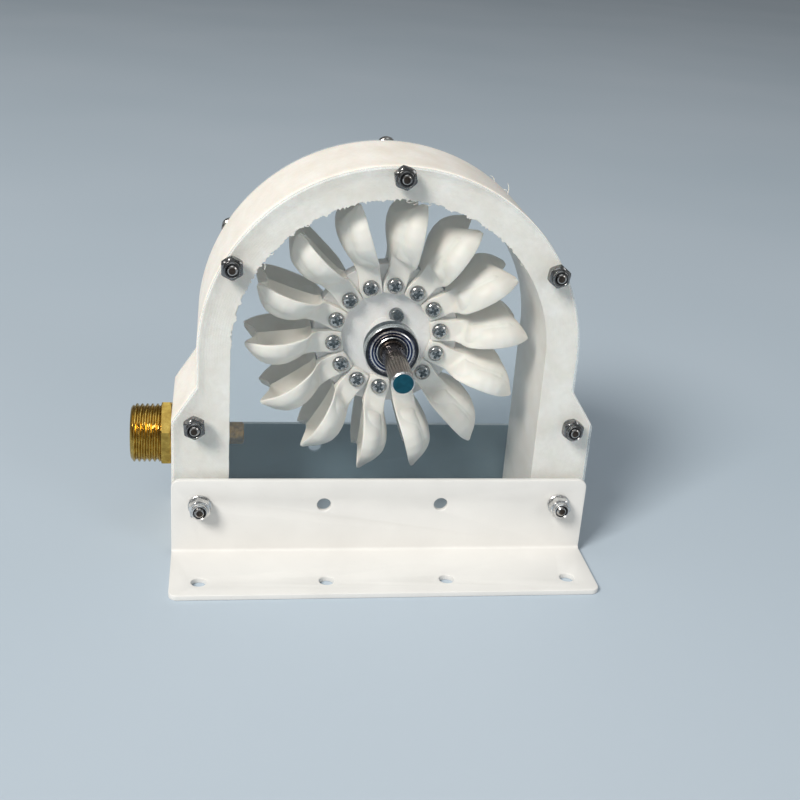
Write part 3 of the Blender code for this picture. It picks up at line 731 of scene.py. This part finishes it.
NUT_PROFILE = [(2.03, 0.0), (3.35, 0.0), (3.75, 0.1), (4.05, 0.38), (4.05, 2.85), (3.8, 3.1), (3.3, 3.36)]
NUT_PROFILE += [(3.0, 3.42), (2.94, 3.6), (2.92, 4.3), (2.82, 4.68), (2.6, 4.93), (2.38, 5.0), (2.3, 4.92)]
NYLON_PROFILE = [(2.3, 4.92), (2.28, 4.66), (2.18, 4.62), (2.03, 4.66), (2.03, 0.0)]
WASHER_PROFILE = [(2.2, 0.05), (4.0, 0.05), (4.15, 0.2), (4.15, 0.7), (4.0, 0.85), (2.2, 0.85)]
END_PROFILE = [(0.0, 0.0), (0.7, -0.02), (1.15, -0.09), (1.5, -0.2), (1.95, -0.55)]
HEAD_PROFILE = [(3.2, 0.0), (3.5, -0.3), (3.5, -3.5), (3.38, -3.85), (3.1, -4.0)]
HEAD_PROFILE += [(1.75, -4.0), (1.66, -3.85), (1.66, -1.8), (0.0, -1.5)]
WASHER_SPACE = 0.9
THREAD_START = 0.6
THREAD_ROWS = 26
THREAD_STEP = 0.11
BOLT_SEGMENTS = 48
NUT_TURNS = (12.0, 2.0, -8.0, 5.0, -4.0, 10.0, 22.0)  # in degrees, in the order of the places

bolt_socket = hexagon(3.0)


def bolt_radius(radius, height, angle):
    """Six flats in the head's socket, and a fine M4 thread, which ripples the head's rim too."""
    if radius < 1.9:
        return bolt_socket(radius, height, angle) if height < 0.0 else radius
    phase = (height / 0.7 - angle / FULL) % 1.0
    return radius - 0.3 * abs(2 * phase - 1.0)


def bolt_shape(seat, turn, washer):
    """A bolt along Z with its lock nut in front and its cap head behind."""
    gap = WASHER_SPACE if washer else SEAT_GAP / MM
    nut_face = seat + gap
    back = -nut_face
    end = nut_face + 5.4
    shape = Shape()
    shape.turn(raised(NUT_PROFILE, nut_face), 72, shape=hexagon(7.0, turn))
    shape.turn(raised(NYLON_PROFILE, nut_face), 72, slot=1)
    profile = raised(END_PROFILE, end)
    profile += [(1.97, end - THREAD_START - THREAD_STEP * (row + 1)) for row in range(THREAD_ROWS)]
    profile += [(1.95, nut_face), (1.95, back)] + raised(HEAD_PROFILE, back)
    dome = len(shape.faces)
    shape.turn(profile, BOLT_SEGMENTS, slot=2, shape=bolt_radius)
    # The dome at the bolt's end takes the near-black steel, a painted dark reflection.
    dark = 2 * BOLT_SEGMENTS
    shape.slots[dome : dome + dark] = [3] * dark
    if washer:
        for base in (seat, back):
            shape.turn(raised(WASHER_PROFILE, base), 64, ring=True)
    return shape


def make_bolts():
    for (name, (x, z)), turn in zip(bolt_places().items(), NUT_TURNS):
        at_bracket = "bracket" in name
        seat = BRACKET_FACE + SHEET if at_bracket else PANEL_FRONT
        mesh = bolt_shape(seat / MM, math.radians(30.0 + turn), at_bracket).mesh(name)
        mesh.transform(front_at(x, z))
        nut_steel = BRIGHT_STEEL_AND_GLINT if at_bracket else NUT_STEEL
        add_piece(name + "_set", mesh, [nut_steel, NYLON, STEEL, BOLT_END_PAINTED_DARK], "frame", (name,), 28.0)


# Bearings, shaft, spacers


def add_bearing_ring(name, shape, body, place):
    """A ring of a bearing, with a painted highlight of bright steel on its chamfers."""
    mesh = shape.mesh(name)
    mesh.transform(place)
    for face in mesh.polygons:
        if 0.25 < abs(face.normal.y) < 0.95:
            face.material_index = 2
    add_piece(name + "_ring", mesh, [BEARING_PAINTED_DARK, SHIELD_PAINTED_REFLECTION, BRIGHT_STEEL_AND_GLINT], body, (name,), 25.0)


def make_bearings():
    outer = [(8.05, 2.72), (8.2, 3.0), (9.2, 3.0), (9.5, 2.7)]
    outer += facing(outer[::-1], -1.0)
    shield = [(8.04, 2.72), (7.8, 2.78), (7.5, 2.62), (7.2, 2.76), (6.5, 2.72), (6.2, 2.6)]
    shield += [(5.75, 2.6), (5.75, 2.4), (8.04, 2.4)]
    inner = [(4.05, 2.75), (4.3, 3.0), (5.2, 3.0), (5.45, 2.78)]
    inner += [(5.5, -2.78), (5.2, -3.0), (4.3, -3.0), (4.05, -2.75)]
    middle = PANEL_FRONT - 3.8 * MM
    for side, name in ((-1.0, "front_bearing"), (1.0, "rear_bearing")):
        place = front_at(ARCH_X, SHAFT_Z, side * middle)
        rings = Shape().turn(outer, 96, ring=True)
        for end in (1.0, -1.0):
            rings.turn(facing(shield, end), 96, ring=True, slot=1)
        add_bearing_ring(name + "_outer", rings, "frame", place)
        add_bearing_ring(name + "_inner", Shape().turn(inner, 96, ring=True), "wheel", place)


def make_shaft():
    profile = [(0.0, 50.0), (1.2, 50.0), (3.4, 50.0), (3.5, 49.98), (3.9, 49.6), (4.0, 49.35)]
    profile += [(4.0, h) for h in (45.0, 40.0, 34.0, 28.0, 22.0, 10.0, 0.0, -12.0, -22.0, -24.4)]
    profile += [(3.9, -24.65), (3.5, -24.98), (3.4, -25.0), (0.0, -25.0)]
    mesh = Shape().turn(profile, 96, ON_SHAFT).mesh("shaft")
    # The front end face takes a painted blue reflection, and the chamfer behind it bright steel, a painted
    # highlight.
    for face in mesh.polygons:
        if face.normal.y < -0.99:
            face.material_index = 1
        elif face.normal.y < -0.1:
            face.material_index = 2
    add_piece("shaft_bar", mesh, [SHAFT, SHAFT_END_PAINTED_REFLECTION, BRIGHT_STEEL_AND_GLINT], "wheel", ("shaft",), 20.0)


def make_spacers():
    near, far = 3.3, 15.7
    profile = [(4.05, near), (6.3, near), (6.5, near + 0.2)]
    profile += [(6.5, height) for height in (6.0, 9.0, 12.0, far - 0.25)]
    profile += [(6.25, far), (4.3, far), (4.05, far - 0.2)]
    for side, name in ((1.0, "front_spacer"), (-1.0, "rear_spacer")):
        mesh = Shape().turn(facing(profile, side), 64, ON_SHAFT, ring=True).mesh(name)
        add_piece(name + "_sleeve", mesh, [HUB], "wheel", (name,))


# Wheel

# A bucket's sections: distance from the shaft, the rim's half width and height, the chine's
# half width and height, and the heights of the stem's back edge and of the back's middle line
SECTIONS = np.array(
    [
        [15.9, 6.35, 3.45, 6.35, 0.5, -3.45, -3.45],
        [18.9, 6.35, 4.1, 6.35, 0.8, -4.1, -4.1],
        [22.5, 6.35, 4.5, 6.35, 2.0, -3.3, -3.3],
        [25.0, 6.4, 4.7, 6.35, 2.8, -3.1, -3.1],
        [26.0, 8.5, 4.9, 6.5, 2.4, -3.1, -3.1],
        [27.0, 11.2, 5.0, 6.8, 1.5, -3.1, -3.2],
        [28.0, 13.1, 5.0, 7.1, 0.3, -3.15, -3.3],
        [29.0, 14.1, 5.0, 7.5, -1.2, -3.3, -3.5],
        [30.0, 14.8, 4.95, 8.0, -2.5, -3.5, -3.7],
        [31.0, 15.4, 4.95, 8.7, -3.3, -3.8, -4.0],
        [33.0, 16.4, 4.9, 10.1, -3.9, -4.5, -4.7],
        [36.0, 17.2, 4.85, 11.6, -4.6, -5.2, -5.5],
        [39.5, 17.3, 4.95, 12.0, -4.75, -5.5, -5.85],
        [43.0, 16.5, 5.0, 11.2, -4.2, -5.15, -5.5],
        [45.0, 15.4, 5.1, 10.6, -3.2, -4.2, -4.6],
        [47.0, 13.9, 5.15, 10.3, -1.5, -2.3, -2.7],
        [48.5, 12.6, 5.0, 10.1, 0.6, 0.0, -0.4],
        [49.9, 11.4, 4.85, 10.0, 3.0, 2.7, 2.5],
    ]
)
REACH = SECTIONS[:, 0]
ROOT, TIP = REACH[0], REACH[-1]
CUP_STEPS = 14
FLANK_STEPS = 9
SIDE_STEPS = 4
BACK_STEPS = 6
WALL = 1.2
LIP = 0.8
SLOT_HALF = 3.55
SLOT_REACH = 26.2
STEM_END = 26.5
STEM_HALF = 6.35

# First and last point of a half section that the slot between the prongs leaves
SLOT_TOP = 9
SLOT_BOTTOM = CUP_STEPS + 4 + FLANK_STEPS + 5 + (SIDE_STEPS - 1) + 4 + 2

# Lean of each bucket about its screw, in degrees, as they were put together
LEANS = [0.4, 1.2, 2.0, 1.2, 1.0, 0.3, 0.4, 1.4, 2.9, -1.6, -0.9, -0.5, 0.6, 0.3]


def smooth_table(column, spread=0.9):
    """A function of the reach that passes smoothly near a column of the sections."""
    values = SECTIONS[:, column]
    fine = np.arange(ROOT - 3.0, TIP + 3.0, 0.05)
    raw = np.interp(fine, REACH, values)
    low_slope, *_, high_slope = np.diff(values) / np.diff(REACH)
    raw = np.where(fine < ROOT, values[0] + (fine - ROOT) * low_slope, raw)
    raw = np.where(fine > TIP, values[-1] + (fine - TIP) * high_slope, raw)
    taps = np.arange(-3 * spread, 3 * spread + 0.01, 0.05)
    kernel = np.exp(-((taps / spread) ** 2))
    even = np.convolve(raw, kernel / kernel.sum(), mode="same")
    return lambda reach: float(np.interp(reach, fine, even))


rim_half, rim_height = smooth_table(1, 0.5), smooth_table(2)
chine_half, chine_height = smooth_table(3), smooth_table(4, 0.7)
edge_height, back_height = smooth_table(5), smooth_table(6)


def cup_points(reach):
    """The cup's inside, as (half width, height) from the splitter's ridge to the rim."""
    top = rim_height(reach)
    inner = rim_half(reach) - WALL
    if reach < STEM_END:
        halves = np.interp(range(CUP_STEPS), (0, SLOT_TOP, CUP_STEPS), (0.0, SLOT_HALF, inner))
        return [(float(half), top) for half in halves]
    opened = ease(reach, 25.6, 30.0) ** 0.8
    if reach > 43.0:
        along = min(1.0, (reach - 43.0) / (TIP - LIP - 43.0))
        opened = math.sqrt(max(0.0, 1.0 - along**2))
    depth = (top - back_height(reach) - 1.5) * opened
    drop = 0.9 * ease(reach, 25.6, 29.0)
    points = []
    for i in range(CUP_STEPS):
        turn = math.pi * (1.0 - i / CUP_STEPS)
        half = inner * (1.0 + math.cos(turn)) / 2
        fall = depth * math.sin(turn) ** 0.8
        points.append((half, top - max(fall, drop * (1.0 - half / inner))))
    return points


def rounded_corner(before, corner, after, size):
    """Points that round a corner, both ends included."""
    first = corner + (before - corner).normalized() * min(size, 0.45 * (before - corner).length)
    last = corner + (after - corner).normalized() * min(size, 0.45 * (after - corner).length)
    return [
        first * (1 - share) ** 2 + corner * 2 * share * (1 - share) + last * share**2
        for share in (0.0, 0.25, 0.5, 0.75, 1.0)
    ]


def half_section(reach):
    """The (half width, height) from the splitter over the rim and down the flank to the back's middle."""
    width, top = rim_half(reach), rim_height(reach)
    inner = width - WALL
    points = cup_points(reach)
    points += [(inner, top - 0.2), (inner + 0.2, top), (width - 0.35, top), (width - 0.1, top - 0.1)]
    rim = Vector((width, top - 0.35))
    chine = Vector((chine_half(reach), min(chine_height(reach), top - LIP)))
    edge = Vector((STEM_HALF, min(edge_height(reach), chine.y - 0.15)))
    back = Vector((0.0, min(back_height(reach), edge.y)))
    full = ease(reach, 27.0, 36.0)
    tip = ease(reach, 43.0, TIP)
    bulge = 1.5 * full * (1.0 - 0.7 * tip)
    soft = 1.3 * ease(reach, 25.5, 28.0)
    chine_round = rounded_corner(rim, chine, edge, 0.3 + (soft + 1.4 * full) * (1.0 - 0.8 * tip))
    edge_round = rounded_corner(chine, edge, back, 0.35 + 1.6 * full)
    side = chine_round[0] - rim
    outward = Vector((-side.y, side.x)).normalized()
    if outward.x < 0:
        outward = -outward
    for i in range(FLANK_STEPS):
        share = i / FLANK_STEPS
        swell = bulge * 4.0 * share * (1.0 - share)
        points.append(tuple(rim + side * share + outward * swell))
    points += [tuple(point) for point in chine_round]
    for i in range(1, SIDE_STEPS):
        points.append(tuple(chine_round[-1].lerp(edge_round[0], i / SIDE_STEPS)))
    points += [tuple(point) for point in edge_round[:-1]]
    last = edge_round[-1]
    halves = [last.x * (1.0 - i / BACK_STEPS) for i in range(BACK_STEPS + 1)]
    if reach < STEM_END:
        halves = [last.x, 4.8] + [SLOT_HALF * (1.0 - i / 4) for i in range(5)]
    for half in halves:
        share = half / max(last.x, 0.01)
        points.append((half, back.y + (last.y - back.y) * share**2))
    return points


def notch(reach):
    """How far the splitter's end is set back at a distance from the shaft."""
    return 3.7 * max(0.0, (reach - 40.0) / (TIP - 40.0)) ** 2.2


def bucket_mesh():
    stations = list(np.linspace(SLOT_REACH, 31.0, 17)) + list(np.linspace(31.0, 46.0, 26))[1:]
    stations += list(46.0 + (TIP - 46.0) * np.sin(np.linspace(0, QUARTER, 18)))[1:]
    verts, rings = [], []
    for reach in stations:
        half = half_section(float(reach))
        section = half + [(-w, t) for w, t in reversed(half[1:-1])]
        rings.append(list(range(len(verts), len(verts) + len(section))))
        for w, t in section:
            shift = notch(reach) * (1.0 - ease(abs(w), 2.5, 10.5))
            verts.append(((reach - shift) * MM, t * MM, w * MM))
    first, last = rings[0], rings[-1]
    count = len(first)
    faces = skin(rings)
    inside = CUP_STEPS + 3
    top = [last[k] for k in range(-inside, inside + 1)]
    rest = [last[k] for k in range(inside, count - inside + 1)]
    faces += cap_between(verts, top, rest)
    picks = [*range(-SLOT_TOP, SLOT_TOP + 1), *range(SLOT_BOTTOM, count - SLOT_BOTTOM + 1)]
    faces.append([first[k] for k in picks])
    for side in (1, -1):
        faces += prong(verts, first, side)
    return Shape().add(verts, faces).mesh("bucket")


def prong(verts, first, side):
    """One prong from its inner end to the bucket's root, which it shares."""
    rows = []
    for reach in (ROOT, ROOT + 0.35, 17.4, 18.9, 20.6, 22.5, 24.3):
        half = half_section(reach)[SLOT_TOP : SLOT_BOTTOM + 1]
        squeeze = 0.35 if reach == ROOT else 0.0
        rows.append(list(range(len(verts), len(verts) + len(half))))
        for w, t in half:
            pulled = max(w - squeeze, SLOT_HALF)
            verts.append((reach * MM, (t - math.copysign(squeeze, t)) * MM, side * pulled * MM))
    rows.append([first[side * k] for k in range(SLOT_TOP, SLOT_BOTTOM + 1)])
    return skin(rows) + [rows[0]]


def cap_between(verts, top, rest):
    """Closes the lip between the cups' edge and the back's edge with a row of triangles."""
    faces = []
    i, k = 0, len(rest) - 1
    while i < len(top) - 1 or k > 0:
        step_top = i < len(top) - 1
        if step_top and k > 0:
            ahead = math.dist(verts[top[i + 1]], verts[rest[k]])
            step_top = ahead < math.dist(verts[rest[k - 1]], verts[top[i]])
        if step_top:
            face = [top[i], top[i + 1], rest[k]]
            i += 1
        else:
            face = [top[i], rest[k], rest[k - 1]]
            k -= 1
        if len(set(face)) == 3:
            faces.append(face)
    return faces


def make_buckets():
    mesh = bucket_mesh()
    for number, (angle, degrees) in enumerate(zip(BUCKET_ANGLES, LEANS), 1):
        outward = Vector((math.cos(angle), 0.0, math.sin(angle)))
        open_side = Vector((math.sin(angle), 0.0, -math.cos(angle)))
        place = Matrix((outward, open_side, outward.cross(open_side))).transposed().to_4x4()
        place.translation = SHAFT_CENTRE
        copy = mesh.copy()
        pivot = Matrix.Translation((SCREW_CIRCLE, 0.0, 0.0))
        lean = Matrix.Rotation(math.radians(degrees), 4, "Z")
        copy.transform(place @ pivot @ lean @ pivot.inverted())
        node = f"bucket_{number:02d}"
        add_piece(node + "_cast", copy, [BUCKET], "wheel", (node,), 62.0)


def make_hub():
    profile = [(4.05, 3.05), (4.3, 3.25), (6.0, 3.25), (12.0, 3.25), (20.0, 3.25), (25.7, 3.25)]
    profile += [(26.0, 3.0), (26.0, -3.0), (25.7, -3.25), (15.0, -3.25), (4.3, -3.25), (4.05, -3.05)]
    mesh = Shape().turn(profile, 140, ON_SHAFT, ring=True).mesh("hub")
    add_piece("wheel_hub_disc", mesh, [HUB], "wheel", ("wheel_hub",), 30.0)


def recess_bar(turn):
    """One tapered bar of the cross recess in a screw's head."""
    verts = []
    for end, half, height in ((0.99, 0.385, 0.5), (1.8, 0.55, 2.3)):
        corners = ((-end, -half), (end, -half), (end, half), (-end, half))
        verts += [(x * MM, y * MM, height * MM) for x, y in corners]
    return Shape().add(verts, capped(4, 2), Matrix.Rotation(turn, 4, "Z")).mesh("recess_bar")


def screw_mesh():
    """A pan head screw with a cross recess, its head's seat at height 0."""
    profile = [(0.0, 1.95), (0.8, 1.93), (1.6, 1.82), (2.2, 1.6), (2.62, 1.25), (2.86, 0.75), (2.9, 0.35)]
    profile += [(2.78, 0.0), (1.5, 0.0), (1.5, -12.0), (1.2, -12.4), (0.0, -12.4)]
    mesh = Shape().turn(profile, 48).mesh("screw")
    for turn in (0.0, QUARTER):
        mesh = cut(mesh, recess_bar(turn))
    # Slot 1 takes painted shade in the recess and a painted dark reflection on the head's steep side.
    for face in mesh.polygons:
        out = math.hypot(face.center.x, face.center.y)
        recess = out < 1.9 * MM and 0.4 * MM < face.center.z < 1.7 * MM
        side = out > 2.0 * MM and face.center.z < 0.8 * MM
        face.material_index = 1 if recess or side else 0
    return mesh


def add_fasteners(name, mesh, places, materials):
    """Copies of a screw or nut on the wheel, joined into one piece."""
    bm = bmesh.new()
    for place in places:
        copy = mesh.copy()
        copy.transform(place)
        bm.from_mesh(copy)
    joined = bpy.data.meshes.new(name)
    bm.to_mesh(joined)
    bm.free()
    add_piece(name, joined, materials, "wheel")


def make_screws():
    fronts, rears = [], []
    seat = STEM_FACE + SEAT_GAP
    for angle in BUCKET_ANGLES:
        x, z = polar(SCREW_CIRCLE, angle, ARCH_X, SHAFT_Z)
        spin = Matrix.Rotation(random.uniform(0.0, QUARTER), 4, "Z")
        fronts.append(front_at(x, z, -seat) @ spin)
        rears.append(Matrix.Translation((x, seat, z)) @ TO_REAR @ spin)
    add_fasteners("bucket_screws", screw_mesh(), fronts, [STEEL, PAINTED_SHADE_STEEL])
    profile = [(1.55, 0.0), (2.75, 0.0), (3.1, 0.25), (3.1, 2.1), (2.75, 2.4), (1.75, 2.4), (1.55, 2.2)]
    nut = Shape().turn(profile, 60, ring=True, shape=hexagon(5.5)).mesh("screw_nut")
    add_fasteners("bucket_nuts", nut, rears, [STEEL])


CAP_SCREW_CIRCLE = 8.04 * MM
CAP_SCREW_SEGMENTS = 48

cap_screw_socket = hexagon(2.3)


def cap_screw_radius(radius, height, angle):
    """Six flats in the socket and round elsewhere."""
    return cap_screw_socket(radius, height, angle) if radius < 1.3 else radius


def make_cap_screws():
    profile = [(0.0, 1.1), (1.25, 1.3), (1.25, 2.8), (1.3, 2.95), (2.3, 2.95), (2.52, 2.8), (2.6, 2.55)]
    profile += [(2.6, 0.1), (2.5, 0.0), (1.4, 0.0), (1.4, -7.5), (0.0, -7.5)]
    shape = Shape().turn(profile, CAP_SCREW_SEGMENTS, shape=cap_screw_radius)
    # The socket's faces take the steel with painted shade.
    socket = CAP_SCREW_SEGMENTS * profile.index((1.3, 2.95))
    shape.slots[:socket] = [1] * socket
    fronts = []
    for angle in (66.0, 246.0):
        x, z = polar(CAP_SCREW_CIRCLE, math.radians(angle), ARCH_X, SHAFT_Z)
        fronts.append(front_at(x, z, -HUB_HALF - SEAT_GAP))
    add_fasteners("hub_cap_screws", shape.mesh("cap_screw"), fronts, [NUT_STEEL, PAINTED_SHADE_STEEL])


# Brass inlet

THREAD_PITCH = 1.814


def thread_radius(radius, height, angle):
    """A half-inch pipe thread where the profile is at its full radius."""
    if radius < 10.3:
        return radius
    fade = ease(height, 78.9, 79.9) * (1.0 - 0.8 * ease(height, 88.6, 89.8))
    phase = (height / THREAD_PITCH + angle / FULL) % 1.0
    groove = min(1.0, max(0.0, 1.35 - 3.4 * abs(phase - 0.5)))
    return radius + 0.12 - 0.85 * fade * (1.0 - groove) - 0.25 * (1.0 - fade)


def make_inlet():
    """A bored core with a threaded sleeve and a hexagon around it, along Z from the arch's middle."""
    nozzle_end = (4.1, 57.3)
    core = [(7.5, 89.8), (7.3, 89.6), (7.3, 81.5), (5.0, 79.0), (5.0, 60.0), (2.0, 55.5), (2.0, 49.5)]
    core += [(3.5, 49.5), (3.9, 49.8), (4.1, 50.3), (4.1, 55.0), nozzle_end, (6.8, 57.3), (7.0, 57.6)]
    core += [(7.0, 65.0), (7.0, 77.0), (9.0, 79.5), (9.0, 89.8)]
    shape = Shape().turn(core, 96, ring=True)
    dull = 96 * core.index(nozzle_end)
    shape.slots[:dull] = [1] * dull
    sleeve = [(7.6, 89.9), (9.3, 89.9), (9.75, 89.6), (10.1, 89.2)]
    sleeve += [(10.48, height) for height in np.arange(89.0, 79.3, -0.12)]
    sleeve += [(9.3, 79.25), (8.0, 79.1), (8.0, 89.0), (7.6, 89.75)]
    shape.turn(sleeve, 96, ring=True, shape=thread_radius)
    nut = [(6.5, 75.3), (11.0, 75.3), (12.2, 75.6), (12.75, 76.0), (12.75, 78.6), (12.2, 78.9)]
    nut += [(10.6, 79.25), (6.5, 79.25)]
    shape.turn(nut, 120, ring=True, shape=hexagon(22.0, math.radians(-6.0)))
    mesh = shape.mesh("inlet")
    mesh.transform(ON_INLET)
    add_piece("inlet_fitting", mesh, [BRASS, DULL_BRASS], "frame", ("inlet_nozzle",), 28.0)


# Loose strings of the print

# Each by angle about the arch in degrees, radius, y and length in millimetres, and lean in degrees
STRINGS = [
    (86.0, 54.9, -20.05, 3.2, -100.0),
    (84.5, 54.8, -20.1, 2.0, -60.0),
    (79.5, 54.9, -20.0, 2.2, -75.0),
    (55.5, 66.6, 12.0, 3.4, 80.0),
    (52.0, 66.6, 4.0, 4.6, 50.0),
    (50.5, 66.6, 9.0, 3.0, 95.0),
    (144.0, 54.8, -20.1, 2.4, -60.0),
    (139.0, 54.8, -20.05, 1.8, -130.0),
    (123.0, 54.8, -20.05, 1.7, -100.0),
    (38.0, 54.9, -20.0, 1.6, -80.0),
]
STRING_STEPS = 12
STRING_RADIUS = 0.16 * MM


def tube(points, radius, sides=6):
    """A thin tube through points, closed at both ends and thinner towards them."""
    verts = []
    count = len(points)
    for k, point in enumerate(points):
        ahead = (points[min(count - 1, k + 1)] - points[max(0, k - 1)]).normalized()
        across = ahead.orthogonal().normalized()
        up = ahead.cross(across)
        size = radius * (0.35 + 0.65 * math.sin(math.pi * (k + 0.5) / count))
        for i in range(sides):
            angle = FULL * i / sides
            verts.append(point + (across * math.cos(angle) + up * math.sin(angle)) * size)
    return verts, capped(sides, count)


def make_strings():
    shape = Shape()
    for angle, radius, y, length, lean in STRINGS:
        x, z = polar(radius * MM, math.radians(angle), ARCH_X, ARCH_Z)
        place = Vector((x, y * MM, z))
        inward = 0.0 if radius > 60.0 else 180.0
        heading = math.radians(angle + inward + lean * 0.4)
        step = length * MM / STRING_STEPS
        points = []
        for _ in range(STRING_STEPS):
            points.append(place.copy())
            heading += math.radians(lean) / STRING_STEPS
            place += Vector((math.cos(heading), -0.15, math.sin(heading))) * step
        shape.add(*tube(points, STRING_RADIUS))
    add_piece("print_strings", shape.mesh("strings"), [HOUSING], "frame")


# Stage

CAMERA_PLACE = (-51.56 * MM, -402.95 * MM, 224.73 * MM)
CAMERA_ANGLES = (-9.378, -23.094, 4.249)  # yaw, pitch and roll in degrees


def make_floor():
    made = Finish("pale_floor", 0.6)
    made.colour(made.noise(400.0 * MM, 2.0), (0.2, (0.42, 0.50, 0.57)), (0.8, (0.48, 0.55, 0.62)))
    half = 6.0
    verts = [(-half, -half, 0.0), (half, -half, 0.0), (half, half, 0.0), (-half, half, 0.0)]
    mesh = Shape().add(verts, [[0, 1, 2, 3]]).mesh("floor")
    mesh.materials.append(made.material)
    add_object("floor", mesh)


def make_light(name, place, size, power, colour=(1.0, 1.0, 1.0)):
    """A softbox that faces the unit's middle."""
    lamp = bpy.data.lights.new(name, "AREA")
    lamp.shape = "RECTANGLE"
    lamp.size, lamp.size_y = size
    lamp.energy = power
    lamp.color = colour
    made = add_object(name, lamp)
    made.location = place
    aim = Vector((ARCH_X, 0.0, 0.07)) - Vector(place)
    made.rotation_euler = aim.to_track_quat("-Z", "Y").to_euler()


def make_lights():
    make_light("key_softbox", (-1.55, -1.55, 1.95), (0.9, 0.9), 83.0, (1.0, 0.965, 0.915))
    make_light("fill_softbox", (1.5, -1.6, 0.9), (0.7, 0.9), 6.5)
    make_light("top_softbox", (-0.1, -0.2, 2.2), (1.7, 1.7), 9.0, (0.90, 0.96, 1.0))
    world = bpy.data.worlds.new("studio")
    world.use_nodes = True
    fill(world.node_tree.nodes["Background"], {"Color": (0.90, 0.92, 0.93, 1.0), "Strength": 0.25})
    bpy.context.scene.world = world
    bpy.context.scene.view_settings.view_transform = "Standard"


def make_camera():
    yaw, pitch, roll = (math.radians(angle) for angle in CAMERA_ANGLES)
    data = bpy.data.cameras.new("camera")
    data.lens = 54.0
    data.sensor_width = 36.0
    data.clip_start = 0.01
    camera = add_object("camera", data)
    level = Matrix.Translation(CAMERA_PLACE) @ Matrix.Rotation(yaw, 4, "Z")
    tilt = Matrix.Rotation(QUARTER + pitch, 4, "X") @ Matrix.Rotation(roll, 4, "Z")
    camera.matrix_world = level @ tilt
    bpy.context.scene.camera = camera


make_camera()
make_floor()
make_lights()
make_housing()
make_panels()
make_brackets()
make_bolts()
make_bearings()
make_shaft()
make_spacers()
make_buckets()
make_hub()
make_screws()
make_cap_screws()
make_inlet()
make_strings()
